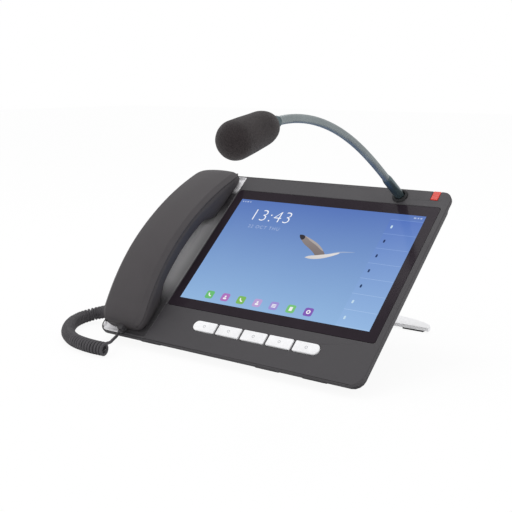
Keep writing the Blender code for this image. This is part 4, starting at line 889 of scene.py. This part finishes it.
# ---------------------------------------------------------------- handset
@dataclass
class Handset:
    """The two shells of the handset: one arched form with a head at each end."""

    peak: float = 36 * MM              # highest point of the back's edges above the face
    peak_at: float = 106 * MM
    fall_below: float = 2.45
    fall_above: float = 1.87
    crown: float = 2.4 * MM
    back_half_width: float = 23 * MM
    skirt: float = 5.2 * MM
    grip: float = 22 * MM
    face_level: float = -2.2 * MM
    lower_head_end: float = 38 * MM
    upper_head_start: float = 166 * MM
    blend: float = 24 * MM
    rounding: float = 14 * MM
    end_share: float = 0.72
    wall: float = 1.8 * MM
    across_power: float = 0.32         # of the front shell's section
    depth_power: float = 0.5
    stations: int = 110
    centre: float = field(init=False)
    start: float = field(init=False)
    end: float = field(init=False)
    half_width: float = field(init=False)

    def __post_init__(self) -> None:
        """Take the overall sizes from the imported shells."""
        low, high = FACE.extent("handset_back_shell")
        self.centre = float(low[0] + high[0]) / 2
        self.half_width = float(high[0] - low[0]) / 2
        self.start, self.end = float(low[1]), float(high[1])

    def edge(self, y: np.ndarray) -> np.ndarray:
        """Height of the back's two long edges: the peak less a share of the squared distance from it."""
        offset = y - self.peak_at
        return self.peak - np.where(offset < 0, self.fall_below, self.fall_above) * offset ** 2

    def floor(self, y: np.ndarray) -> np.ndarray:
        """Height of the underside: flat under the two heads and a grip's depth below the edges between."""
        grip = self.edge(y) - self.grip
        inside = (smooth_step(self.lower_head_end - 2 * MM, self.lower_head_end + self.blend, y)
                  * (1 - smooth_step(self.upper_head_start - self.blend, self.upper_head_start, y)))
        return self.face_level + (grip - self.face_level) * inside

    def scale(self, y: np.ndarray) -> np.ndarray:
        """Share of the full section near the two ends: the end's share, and the rest as a quarter circle."""
        inside = np.minimum(y - self.start, self.end - y) / self.rounding
        quarter = np.sqrt(np.clip(1 - (1 - np.clip(inside, 0, 1)) ** 2, 0, 1))
        return self.end_share + (1 - self.end_share) * quarter

    def along(self) -> np.ndarray:
        """Places of the sections, closer together near the two ends."""
        share = np.linspace(0, 1, self.stations)
        crowded = 0.35 * share + 0.65 * (0.5 - 0.5 * np.cos(share * math.pi))
        return self.start + (self.end - self.start) * crowded

    def back_sections(self) -> np.ndarray:
        """Sections of the back shell, from its left rim over the crown to its right rim.

        The corner points of each section are rounded by corner cutting, which leaves a soft crest.
        """
        y = self.along()
        scale, edge, floor = self.scale(y), self.edge(y), self.floor(y)
        parting = edge - self.skirt
        middle = (parting + floor) / 2
        half, shoulder = self.half_width * scale, self.back_half_width * scale
        side = [
            (half, parting + GAP),
            (half, parting + 1.2 * MM),
            ((half + shoulder) / 2 + 1.2 * MM, edge - 3 * MM),
            (shoulder + 1.0 * MM, edge - 0.9 * MM),
            (shoulder, edge),
            (shoulder - 1.4 * MM, edge + 0.3 * MM * scale),
            (shoulder * 0.72, edge + self.crown * 0.5 * scale),
            (shoulder * 0.36, edge + self.crown * 0.88 * scale),
            (np.zeros_like(shoulder), edge + self.crown * scale),
        ]
        right = np.array([np.stack([a, b], -1) for a, b in side])
        left = right * np.array([-1.0, 1.0])
        outline = np.concatenate([left, right[-2::-1]]).transpose(1, 0, 2)
        raised = outline[..., 1] > (parting + 1.5 * MM)[:, None]
        lowered = middle[:, None] + (outline[..., 1] - middle[:, None]) * scale[:, None]
        outline[..., 1] = np.where(raised, lowered, outline[..., 1])
        return self.placed(corner_cut(outline, 3), y)

    def front_sections(self) -> np.ndarray:
        """Sections of the front shell, from its right rim round the underside to its left rim.

        Across is |cos a| and depth is |sin a|, each to its own power, over half a turn. The depth is
        drawn in a little towards the two ends.
        """
        y = self.along()
        scale = self.scale(y)
        rim = self.edge(y) - self.skirt - GAP / 2
        angle = np.linspace(0, math.pi, 49)
        across = np.sign(np.cos(angle)) * np.abs(np.cos(angle)) ** self.across_power
        depth = np.abs(np.sin(angle)) ** self.depth_power
        half = (self.half_width - 0.2 * MM) * scale
        drop = (self.floor(y) - rim) * (0.55 + 0.45 * scale)
        outline = np.stack([half[:, None] * across, rim[:, None] + drop[:, None] * depth], -1)
        return self.placed(outline, y)

    def placed(self, outline: np.ndarray, y: np.ndarray) -> np.ndarray:
        """Stand flat sections at their places along the handset, in the row frame."""
        points = np.empty((*outline.shape[:2], 3))
        points[..., 0] = self.centre + outline[..., 0]
        points[..., 1] = y[:, None]
        points[..., 2] = outline[..., 1]
        return FACE.to_world(points)

    def shell(self, name: str, sections: np.ndarray, node: str) -> None:
        """An open skin over sections with closed ends, given its wall."""
        rows, columns = sections.shape[:2]
        faces = grid_faces(rows, columns).tolist()
        faces.append(list(range(columns))[::-1])
        faces.append([(rows - 1) * columns + step for step in range(columns)])
        shell = add_piece(name, sections, faces, Finish.HANDSET, "handset", turn_out=False)
        modified(shell, "rounding", "BEVEL", width=1.0 * MM, segments=4, limit_method="ANGLE",
                 angle_limit=math.radians(50))
        modified(shell, "wall", "SOLIDIFY", thickness=self.wall, offset=-1)
        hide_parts(node)

    def build(self) -> None:
        """Make both shells and dress what is inside them."""
        self.shell("handset_back", self.back_sections(), "handset_back_shell")
        self.shell("handset_front", self.front_sections(), "handset_front_shell")
        for node in ("earpiece", "handset_microphone", "handset_weight"):
            dress(node, Finish.STEEL)
        dress("handset_jack", Finish.BACK)
        LOG.info("handset: %.0f mm long", (self.end - self.start) / MM)


# ---------------------------------------------------------------- cradle
@dataclass
class Cradle:
    """The silver tray under the handset, with its two wells, and the hook plunger."""

    level: float = -0.4 * MM
    well: float = 2.6 * MM
    wall: float = 1.4 * MM
    corner: float = 9.6 * MM
    columns: int = 60
    rows: int = 220

    def depth(self, x: np.ndarray, y: np.ndarray, handset: Handset) -> np.ndarray:
        """Height of the tray: level, less a smooth well under each head of the handset."""
        low, high = FACE.extent("cradle_tray")
        reach = handset.half_width
        across = 1 - smooth_step(reach + 0.4 * MM, reach + 2.2 * MM, np.abs(x - handset.centre))
        lower = (smooth_step(low[1] + 1 * MM, handset.start - 1.5 * MM, y)
                 * (1 - smooth_step(handset.lower_head_end + 5 * MM, handset.lower_head_end + 16 * MM, y)))
        upper = (smooth_step(handset.upper_head_start - 16 * MM, handset.upper_head_start - 5 * MM, y)
                 * (1 - smooth_step(handset.end + 0.3 * MM, high[1] - 0.2 * MM, y)))
        return self.level - self.well * across * np.maximum(lower, upper)

    def build(self, handset: Handset) -> None:
        """Make the tray as a fine grid whose two left corners are arcs, and dress the plunger.

        The grid has no opening for the plunger, which stands through it.
        """
        low, high = FACE.extent("cradle_tray")
        share_x = np.linspace(0, 1, self.columns)
        y = np.linspace(low[1], high[1], self.rows)
        to_edge = np.minimum(y - low[1], high[1] - y)
        lift = np.clip(1 - to_edge / self.corner, 0, 1)
        inset = self.corner * (1 - np.sqrt(np.clip(1 - lift ** 2, 0, 1)))
        left = low[0] + inset
        x = left[:, None] + (high[0] - left)[:, None] * share_x[None, :]
        up = np.broadcast_to(y[:, None], x.shape)
        points = FACE.to_world(np.stack([x, up, self.depth(x, up, handset)], -1))
        tray = add_piece("cradle_tray_skin", points, grid_faces(self.rows, self.columns), Finish.TRAY, "body",
                         turn_out=False)
        modified(tray, "wall", "SOLIDIFY", thickness=self.wall, offset=-1)
        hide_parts("cradle_tray")
        dress("hook_plunger", Finish.BACK)
        dress("hook_guide", Finish.BACK)
        LOG.info("cradle: %.0f x %.0f mm", (high[0] - low[0]) / MM, (high[1] - low[1]) / MM)


# ---------------------------------------------------------------- screen
@dataclass
class Screen:
    """The touch glass and the picture that the display shows through it."""

    lit_width: float = 216.96 * MM
    lit_height: float = 135.6 * MM
    lower_margin: float = 10.7 * MM
    layer: float = 0.04 * MM           # each layer of the picture stands this far off the one below
    sky_low: Colour = linear(146, 183, 224)
    sky_high: Colour = linear(86, 117, 186)
    left: float = field(init=False)
    low: float = field(init=False)
    top: float = field(init=False)

    def __post_init__(self) -> None:
        """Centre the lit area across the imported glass."""
        low, high = FACE.extent("touch_glass")
        self.left = float(low[0] + high[0] - self.lit_width) / 2
        self.low = float(low[1]) + self.lower_margin
        self.top = float(high[2])

    @staticmethod
    def laid(name: str, mesh: bpy.types.Mesh, finish: Lit) -> None:
        """Dress a layer of the picture and let it ride on the body."""
        mesh.materials.append(made_once(finish))
        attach(linked(name, mesh), "body")

    def flat(self, name: str, outlines: Sequence[np.ndarray], layer: int, finish: Lit) -> None:
        """One or more flat filled outlines on the picture, in millimetres from its lower left corner."""
        points: list[np.ndarray] = []
        faces: list[list[int]] = []
        for outline in outlines:
            start = sum(len(done) for done in points)
            faces.append([start + step for step in range(len(outline))])
            points.append(outline)
        flat = np.concatenate(points) * MM + np.array([self.left, self.low])
        level = self.top + layer * self.layer
        placed = FACE.to_world(np.column_stack([flat, np.full(len(flat), level)]))
        mesh = bpy.data.meshes.new(name)
        mesh.from_pydata(placed.tolist(), [], faces)
        self.laid(name, mesh, finish)

    def text(self, name: str, words: str, size: float, place: tuple[float, float], layer: int,
             finish: Lit, spacing: float, thinner: float) -> None:
        """Digits or a word, filled flat, at a place in millimetres from the picture's lower left corner.

        Args:
            name: The piece's name.
            words: What it says.
            size: Size of the letters in millimetres.
            place: Where it starts.
            layer: How many layers it stands off the glass.
            finish: The finish that it is dressed in.
            spacing: Share of the usual distance between letters.
            thinner: How far each edge of a stroke is drawn in, in millimetres.
        """
        curve = bpy.data.curves.new(name, "FONT")
        curve.body = words
        curve.size = size * MM
        curve.space_character = spacing
        curve.offset = -thinner * MM
        made = linked(name, curve)
        evaluated = made.evaluated_get(bpy.context.evaluated_depsgraph_get())
        mesh = bpy.data.meshes.new_from_object(evaluated)
        bpy.data.objects.remove(made)
        mesh.name = name
        flat = np.zeros(len(mesh.vertices) * 3)
        mesh.vertices.foreach_get("co", flat)
        points = flat.reshape(-1, 3) + np.array([self.left + place[0] * MM, self.low + place[1] * MM,
                                                 self.top + layer * self.layer])
        mesh.vertices.foreach_set("co", FACE.to_world(points).ravel())
        mesh.materials.clear()
        self.laid(name, mesh, finish)

    def sky(self) -> None:
        """The graded sky that fills the lit area."""
        width, height = self.lit_width / MM, self.lit_height / MM
        outline = np.array([[0, 0], [width, 0], [width, height], [0, height]])
        finish = Lit("sky", self.sky_low, self.sky_high, self.low, self.low + self.lit_height)
        self.flat("screen_sky", [outline], 1, finish)

    def bird(self) -> None:
        """A plain sea bird of a few curved outlines: body, two wings and their dark tips."""
        body = corner_cut(np.array([[113.8, 69.6], [116, 71.4], [119.5, 72.8], [124, 73.6], [131, 75.6],
                                    [138, 77.4], [144, 79.4], [148.8, 81.0], [148.2, 79.2], [145, 77.0],
                                    [140, 74.2], [134, 71.4], [127, 69.4], [120, 68.6], [113.8, 69.6]]), 2)
        near = corner_cut(np.array([[94.6, 96.6], [98, 97.0], [104, 95.0], [112, 92.0], [119.6, 88.4],
                                    [126, 84.2], [131, 79.6], [134.5, 75.6], [130, 73.0], [124.5, 72.8],
                                    [121, 76.2], [114, 80.8], [106, 85.0], [99.7, 90.0], [96, 93.4],
                                    [94.6, 96.6]]), 2)
        edge = corner_cut(np.array([[101, 95.9], [104, 95.0], [112, 92.0], [119.6, 88.4], [126, 84.2],
                                    [131, 79.6], [127.5, 80.6], [120, 85.6], [111, 89.8], [101, 95.9]]), 1)
        far = corner_cut(np.array([[134, 75.4], [142, 80.0], [150, 82.4], [158, 83.0], [166, 83.6],
                                   [157, 81.8], [149, 80.4], [142, 77.6], [134, 75.4]]), 2)
        tip = corner_cut(np.array([[94.6, 96.6], [98, 97.0], [101.6, 95.8], [102.6, 92.2], [99.7, 90.0],
                                   [96, 93.4], [94.6, 96.6]]), 1)
        cream = Lit("bird_body", linear(206, 200, 196), linear(232, 230, 230), 0.12, 0.14)
        wing = Lit("bird_wing", linear(112, 102, 102), linear(150, 140, 138), 0.12, 0.16)
        front = Lit("bird_wing_front", linear(168, 160, 158), linear(178, 170, 166), 0.12, 0.16)
        pale = Lit("bird_far_wing", linear(150, 170, 206), linear(160, 176, 208), 0.12, 0.16)
        dark = Lit("bird_tip", linear(44, 40, 46), linear(52, 48, 54), 0.12, 0.16)
        self.flat("screen_bird_far_wing", [far], 2, pale)
        self.flat("screen_bird_wing", [near], 2, wing)
        self.flat("screen_bird_wing_front", [edge], 3, front)
        self.flat("screen_bird_body", [body], 3, cream)
        self.flat("screen_bird_tip", [tip], 3, dark)

    def clock(self) -> None:
        """The time in large thin digits with the date under it."""
        white = Lit("screen_white", (0.93, 0.95, 1.0), (0.93, 0.95, 1.0))
        soft = Lit("screen_soft_white", linear(176, 192, 226), linear(176, 192, 226))
        self.text("screen_time", "13:43", 22.0, (22.6, 108.6), 2, white, 1.08, 0.42)
        self.text("screen_date", "22 OCT THU", 5.9, (28.0, 98.2), 2, soft, 1.22, 0.05)
        specks = [(3.4, 0.7), (6.4, 0.7), (9.6, 1.1), (13.0, 0.7), (206.6, 1.2), (210.0, 0.8), (213.0, 1.0)]
        shapes = [rounded_rectangle(half, 0.8, [0.3] * 4, 2) + [across, 132.4] for across, half in specks]
        self.flat("screen_status_signs", shapes, 2, soft)

    def icons(self) -> None:
        """Seven square keys along the lower edge, each with a plain sign."""
        tints = [
            (106, 190, 116),
            (176, 116, 190),
            (126, 186, 92),
            (188, 162, 214),
            (160, 146, 214),
            (122, 196, 124),
            (130, 92, 182),
        ]
        signs = ["bar", "disc", "bar", "disc", "lines", "page", "ring"]
        tile = rounded_rectangle(4.7, 4.7, [2.2] * 4, 4)
        white = Lit("icon_sign", (0.9, 0.9, 0.93), (0.9, 0.9, 0.93))
        disc = unit_circle(20)
        shapes = {
            "bar": [corner_cut(np.array([[-2.2, 2.0], [-0.8, 2.4], [-0.6, 0.8], [0.8, -0.8], [2.4, -0.8],
                                         [2.0, -2.2], [-0.4, -1.6], [-1.8, 0.2], [-2.2, 2.0]]), 1)],
            "disc": [disc * 1.1 + np.array([0, 1.0]), rounded_rectangle(2.0, 1.0, [0.9] * 4, 3) - [0, 1.4]],
            "ring": [disc * 2.3],
            "lines": [rounded_rectangle(2.5, 0.45, [0.2] * 4, 2) + [0, step * 1.5] for step in (-1, 0, 1)],
            "page": [rounded_rectangle(1.7, 2.3, [0.4] * 4, 2)],
        }
        for number, (tint, sign) in enumerate(zip(tints, signs)):
            centre = np.array([33.0 + 19.4 * number, 8.8])
            ground = Lit(f"icon_tint_{number + 1}", linear(*tint), linear(*tint))
            self.flat(f"screen_icon_{number + 1}", [tile + centre], 2, ground)
            self.flat(f"screen_icon_sign_{number + 1}", [shape + centre for shape in shapes[sign]], 3, white)
            if sign == "ring":
                self.flat(f"screen_icon_eye_{number + 1}", [disc * 1.1 + centre], 4, ground)

    def rows(self) -> None:
        """A column of blank rows at the right: a faint panel, lines between and a small mark in each."""
        high = self.low + self.lit_height
        panel = Lit("panel_tint", linear(150, 186, 228), linear(80, 112, 190), self.low, high)
        line = Lit("panel_line", linear(176, 205, 240), linear(120, 152, 214), self.low, high)
        dot = Lit("panel_dot", linear(40, 66, 104), linear(30, 48, 100), self.low, high)
        pale = Lit("panel_pale_dot", linear(196, 222, 240), linear(170, 196, 232), self.low, self.top)
        left, right, pitch, top, count = 182.5, 216.4, 18.17, 128.0, 7
        bottom = top - count * pitch
        outline = np.array([[left, bottom], [right, bottom], [right, top], [left, top]])
        self.flat("screen_panel", [outline], 2, panel)
        rules = []
        marks: dict[bool, list[np.ndarray]] = {True: [], False: []}
        for row in range(count + 1):
            level = top - row * pitch
            rules.append(np.array([[left, level - 0.2], [right, level - 0.2], [right, level + 0.2],
                                   [left, level + 0.2]]))
            if row < count:
                mark = rounded_rectangle(1.0, 1.9, [0.9] * 4, 3) + [left + 5.0, level - pitch / 2]
                marks[1 <= row <= 4].append(mark)
        self.flat("screen_panel_lines", rules, 3, line)
        self.flat("screen_panel_marks", marks[True], 3, dot)
        self.flat("screen_panel_pale_marks", marks[False], 3, pale)

    def build(self) -> None:
        """Dress the glass and lay the picture on it."""
        dress("touch_glass", Finish.GLASS)
        dress("display_panel", Finish.PANEL)
        self.sky()
        self.bird()
        self.clock()
        self.icons()
        self.rows()
        LOG.info("screen: lit area %.0f x %.0f mm", self.lit_width / MM, self.lit_height / MM)


# ---------------------------------------------------------------- keys
@dataclass
class Keys:
    """The row of five white keys, slightly pillowed, with a small sign on each."""

    count: int = 5
    rounding: float = 0.7 * MM
    pillow: float = 0.12 * MM
    small_radius: float = 1.0 * MM
    least_radius: float = 0.05 * MM
    flange: float = 0.8 * MM           # how far the hidden flange reaches past the cap
    flange_thickness: float = 1.2 * MM
    sign_radii: tuple[float, float] = (1.5 * MM, 0.95 * MM)
    sign_lift: float = 0.02 * MM

    def cap(self, number: int) -> None:
        """One key: its outline drawn in along a quarter circle at the top edge, then a shallow pillow."""
        node = f"key_{number}"
        low, high = FACE.extent(node)
        centre = (high + low)[:2] / 2
        half = (high - low)[:2] / 2 - self.flange
        large = half[1] - 0.2 * MM
        left = large if number == 1 else self.small_radius
        right = large if number == self.count else self.small_radius
        radii = np.array([left, right, right, left])
        seat = low[2] + self.flange_thickness
        turns = np.linspace(0, math.pi / 2, 6)
        profile = [(-self.flange, low[2]), (-self.flange, seat), (0.0, seat)]
        profile += [(self.rounding * (1 - math.cos(turn)), high[2] - self.pillow - self.rounding
                     + self.rounding * math.sin(turn)) for turn in turns]
        profile += [(half[1] * share, high[2] - self.pillow * (1 - share) ** 2)
                    for share in (0.3, 0.5, 0.7, 0.85)]
        rings = []
        for inset, level in profile:
            corners = np.maximum(radii - inset, self.least_radius)
            outline = rounded_rectangle(half[0] - inset, half[1] - inset, corners, 6)
            rings.append(np.column_stack([outline + centre, np.full(len(outline), level)]))
        points, faces = lofted(FACE.to_world(np.array(rings)))
        piece = add_piece(f"{node}_cap", points, faces, Finish.KEY, node)
        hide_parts(node)
        self.sign(number, centre, high[2])

    def sign(self, number: int, centre: np.ndarray, level: float) -> None:
        """A small plain grey sign printed in the middle of a key."""
        disc = unit_circle(24)
        height = np.full(len(disc), level + self.sign_lift)
        rings = [np.column_stack([centre + disc * radius, height]) for radius in self.sign_radii]
        rings = FACE.to_world(np.array(rings))
        faces = grid_faces(2, len(disc), wrap=True)
        add_piece(f"key_{number}_sign", rings, faces, Finish.KEY_SIGN, f"key_{number}", turn_out=False)

    def build(self) -> None:
        """Make all the keys."""
        for number in range(1, self.count + 1):
            self.cap(number)
        dress("key_mat", Finish.RUBBER)
        dress("key_board", Finish.BOARD)
        LOG.info("keys: %d", self.count)


# ---------------------------------------------------------------- microphone
@dataclass
class Microphone:
    """Collar, ferrule, ribbed gooseneck and foam windscreen."""

    neck_radius: float = 3.65 * MM
    ferrule_length: float = 36 * MM
    ferrule_radius: float = 4.9 * MM
    sleeve_length: float = 7 * MM
    neck_length: float = 190 * MM
    lean: float = math.radians(15)
    bend: float = math.radians(41)
    bend_power: float = 1.6
    head_tilt: float = math.radians(6)
    rib_pitch: float = 1.5 * MM
    rib_depth: float = 0.22 * MM
    rib_points: int = 6                # rings in a rib
    sides: int = 24
    windscreen_start: float = 6 * MM   # from the neck's tip
    windscreen_end: float = 69.6 * MM
    nose_radius: float = 15.3 * MM
    tail_radius: float = 13.6 * MM
    tail_length: float = 20 * MM
    foam_wave: float = 0.12 * MM
    base: np.ndarray = field(init=False)

    def __post_init__(self) -> None:
        """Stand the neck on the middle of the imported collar."""
        low, high = FACE.extent("microphone_collar")
        self.base = np.array([(low[0] + high[0]) / 2, (low[1] + high[1]) / 2, 0.0])

    def line(self, distances: np.ndarray) -> tuple[np.ndarray, np.ndarray]:
        """Points and leans of the centre line at distances from the face.

        The lean is constant along the ferrule and then gains bend times the share of the neck to a power.
        Forward and rise are the running sums of its sine and cosine.

        Args:
            distances: Distances along the line, rising.

        Returns:
            Points in the row frame, and the leans from the face's normal.
        """
        fine = np.linspace(0, self.ferrule_length + self.neck_length, 4000)
        share = np.clip((fine - self.ferrule_length) / self.neck_length, 0, 1)
        leans = self.lean + self.bend * share ** self.bend_power
        step = fine[1] - fine[0]
        forward = np.concatenate([[0], np.cumsum(0.5 * (np.sin(leans[1:]) + np.sin(leans[:-1])) * step)])
        rise = np.concatenate([[0], np.cumsum(0.5 * (np.cos(leans[1:]) + np.cos(leans[:-1])) * step)])
        y = self.base[1] - np.interp(distances, fine, forward)
        z = np.interp(distances, fine, rise)
        points = np.stack([np.full(len(y), self.base[0]), y, z], -1)
        return FACE.to_world(points), np.interp(distances, fine, leans)

    def stretch(self, name: str, start: float, end: float) -> bpy.types.Object:
        """A ribbed length of the neck: the radius dips by a rounded groove once in each rib pitch."""
        distances = np.linspace(start, end, max(8, int((end - start) / self.rib_pitch * self.rib_points)))
        path = self.line(distances)[0]
        wave = np.abs(np.sin(math.pi * distances / self.rib_pitch))
        radii = self.neck_radius - self.rib_depth * (1 - wave) ** 2
        points, faces = lofted(tube_rings(path, radii, self.sides))
        return add_piece(name, points, faces, Finish.NECK, "")

    def neck(self) -> None:
        """Four stretches, each spanning one joint, that meet in the middle of the CAD's segments."""
        span = (self.neck_length - self.sleeve_length) / 4
        first = self.ferrule_length + self.sleeve_length
        pivots = [first + span * index for index in range(4)]
        bodies = ["neck_base", "neck_1", "neck_2", "neck_3", "neck_head"]
        edges = [self.ferrule_length + GAP] + [pivot + span / 2 for pivot in pivots[:3]]
        edges.append(self.ferrule_length + self.neck_length)
        reach = [self.sleeve_length * 0.9, span * 0.45, span * 0.45, span * 0.45]
        stood_for = [("neck_sleeve", "neck_1"), ("neck_2",), ("neck_3",), ("neck_4",)]
        for index, pivot in enumerate(pivots):
            piece = self.stretch(f"gooseneck_{index + 1}", edges[index], edges[index + 1])
            ends = self.line(np.array([pivot - reach[index], pivot + span * 0.45]))[0]
            bodies[index + 1]
            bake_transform(piece)
            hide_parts(*stood_for[index])

    def windscreen(self) -> None:
        """Foam windscreen turned about the line's end: a full round nose, a slow taper and a tucked tail.

        The radius is the straight taper between tail and nose times a super-ellipse of the place along it,
        and small waves of a fraction of a millimetre keep it from looking turned.
        """
        tip, lean = self.line(np.array([self.ferrule_length + self.neck_length]))
        axis = self.direction(float(lean[0]) + self.head_tilt)
        u = 0.5 - 0.5 * np.cos(np.linspace(0, math.pi, 90))
        place = self.windscreen_start + (self.windscreen_end - self.windscreen_start) * u
        straight = self.tail_radius + (self.nose_radius - self.tail_radius) * smooth_step(0.1, 0.85, u)
        nose = np.clip((place - (self.windscreen_end - self.nose_radius)) / self.nose_radius, 0, 1)
        tail = np.clip(1 - (place - self.windscreen_start) / self.tail_length, 0, 1)
        radius = straight * np.sqrt(np.clip(1 - nose ** 2.2, 0, 1)) * np.sqrt(1 - tail ** 2.3)
        radius = np.maximum(radius, 0.02 * MM)
        angle, ring = self.ring(axis, 72)
        wave = (np.sin(5 * angle + 1.3)[None, :] * np.sin(9 * u + 0.4)[:, None]
                + 0.6 * np.sin(11 * angle)[None, :] * np.cos(17 * u)[:, None])
        full = np.minimum(radius / self.tail_radius, 1.0)[:, None]
        rough = radius[:, None] - self.foam_wave * (1 + 0.5 * wave) * full
        points = tip[0] + place[:, None, None] * axis + rough[..., None] * ring[None]
        flat, faces = lofted(points)
        foam = add_piece("windscreen_foam", flat, faces, Finish.FOAM, "neck_head")
        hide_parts("windscreen")

    @staticmethod
    def direction(lean: float) -> np.ndarray:
        """Unit direction in the row frame of a line that leans from the face's normal towards the user."""
        start, end = FACE.to_world(np.array([[0.0, 0.0, 0.0], [0.0, -math.sin(lean), math.cos(lean)]]))
        return end - start

    @staticmethod
    def ring(axis: np.ndarray, count: int) -> tuple[np.ndarray, np.ndarray]:
        """Evenly spaced angles round an axis, and the unit directions across it at those angles."""
        side = np.array([1.0, 0.0, 0.0])
        third = np.cross(axis, side)
        angle = np.linspace(0, 2 * math.pi, count, endpoint=False)
        return angle, np.cos(angle)[:, None] * side + np.sin(angle)[:, None] * third

    def ferrule(self) -> None:
        """Turned ferrule: a slim waist at the face, a long body and a stepped, rounded shoulder."""
        radius = self.ferrule_radius
        profile = np.array([
            (0.05 * MM, self.ferrule_length),
            (self.neck_radius + 0.3 * MM, self.ferrule_length),
            (radius - 0.45 * MM, self.ferrule_length - 3.2 * MM),
            (radius - 0.3 * MM, self.ferrule_length - 4.5 * MM),
            (radius - 0.1 * MM, 6 * MM),
            (radius - 0.6 * MM, 2.5 * MM),
            (radius - 1.0 * MM, -3.4 * MM),
            (0.05 * MM, -3.4 * MM),
        ])
        axis = self.direction(self.lean)
        ring = self.ring(axis, 40)[1]
        base = FACE.to_world(self.base[None, :])[0]
        points = base + profile[:, 1][:, None, None] * axis + profile[:, 0][:, None, None] * ring[None]
        flat, faces = lofted(points)
        piece = add_piece("ferrule_turned", flat, faces, Finish.FERRULE, "body")
        modified(piece, "rounding", "BEVEL", width=0.3 * MM, segments=2, limit_method="ANGLE")
        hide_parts("microphone_ferrule")

    def build(self) -> None:
        """Make the whole microphone."""
        self.ferrule()
        self.neck()
        self.windscreen()
        dressed_copy("microphone_collar", Finish.RUBBER, "body", 0.4 * MM)
        dress("microphone_capsule", Finish.FERRULE)
        LOG.info("microphone: neck %.0f mm", self.neck_length / MM)


# ---------------------------------------------------------------- casing, stand and feet
@dataclass
class Casing:
    """The front cover, back cover, sockets, feet, stand and the pieces inside."""

    edge: float = 0.7 * MM

    def build(self) -> None:
        """Dress every remaining node, with rounded copies of those that show."""
        dressed_copy("front_cover", Finish.FACE, "body", self.edge, 3)
        dressed_copy("back_cover", Finish.BACK, "body", 0.5 * MM)
        dressed_copy("call_light", Finish.CALL_LIGHT, "body", 0.6 * MM)
        dressed_copy("stand_leg", Finish.STAND, "stand", 0.5 * MM)
        for side in ("left", "right"):
            dressed_copy(f"stand_pad_{side}", Finish.RUBBER, "stand", 0.3 * MM)
            dressed_copy(f"front_foot_{side}", Finish.RUBBER, "body", 0.5 * MM)
            dressed_copy(f"hinge_bracket_{side}", Finish.BACK, "body", 0.5 * MM)
            dress(f"hinge_pin_{side}", Finish.STEEL)
        dressed_copy("handsfree_microphone", Finish.BACK, "body", 0.5 * MM)
        for name in ("network", "pc", "headset", "usb"):
            dressed_copy(f"{name}_socket", Finish.STEEL, "body", 0.2 * MM)
        dressed_copy("power_socket", Finish.BACK, "body", 0.2 * MM)
        for number in range(1, 5):
            dress(f"cover_screw_{number}", Finish.STEEL)
        for node in ("chassis_plate", "processor_shield", "loudspeaker"):
            dress(node, Finish.STEEL)
        for node in ("main_board", "port_board"):
            dress(node, Finish.BOARD)
        dress("handset_socket", Finish.BACK)
        LOG.info("casing dressed")


def main() -> None:
    """Build the stage, then the phone piece by piece."""
    logging.basicConfig(level=logging.INFO, format="%(name)s: %(message)s")
    Studio().build()
    CurlyCord().build()
    handset = Handset()
    handset.build()
    Cradle().build(handset)
    Screen().build()
    Keys().build()
    Microphone().build()
    Casing().build()


if __name__ == "__main__":
    main()
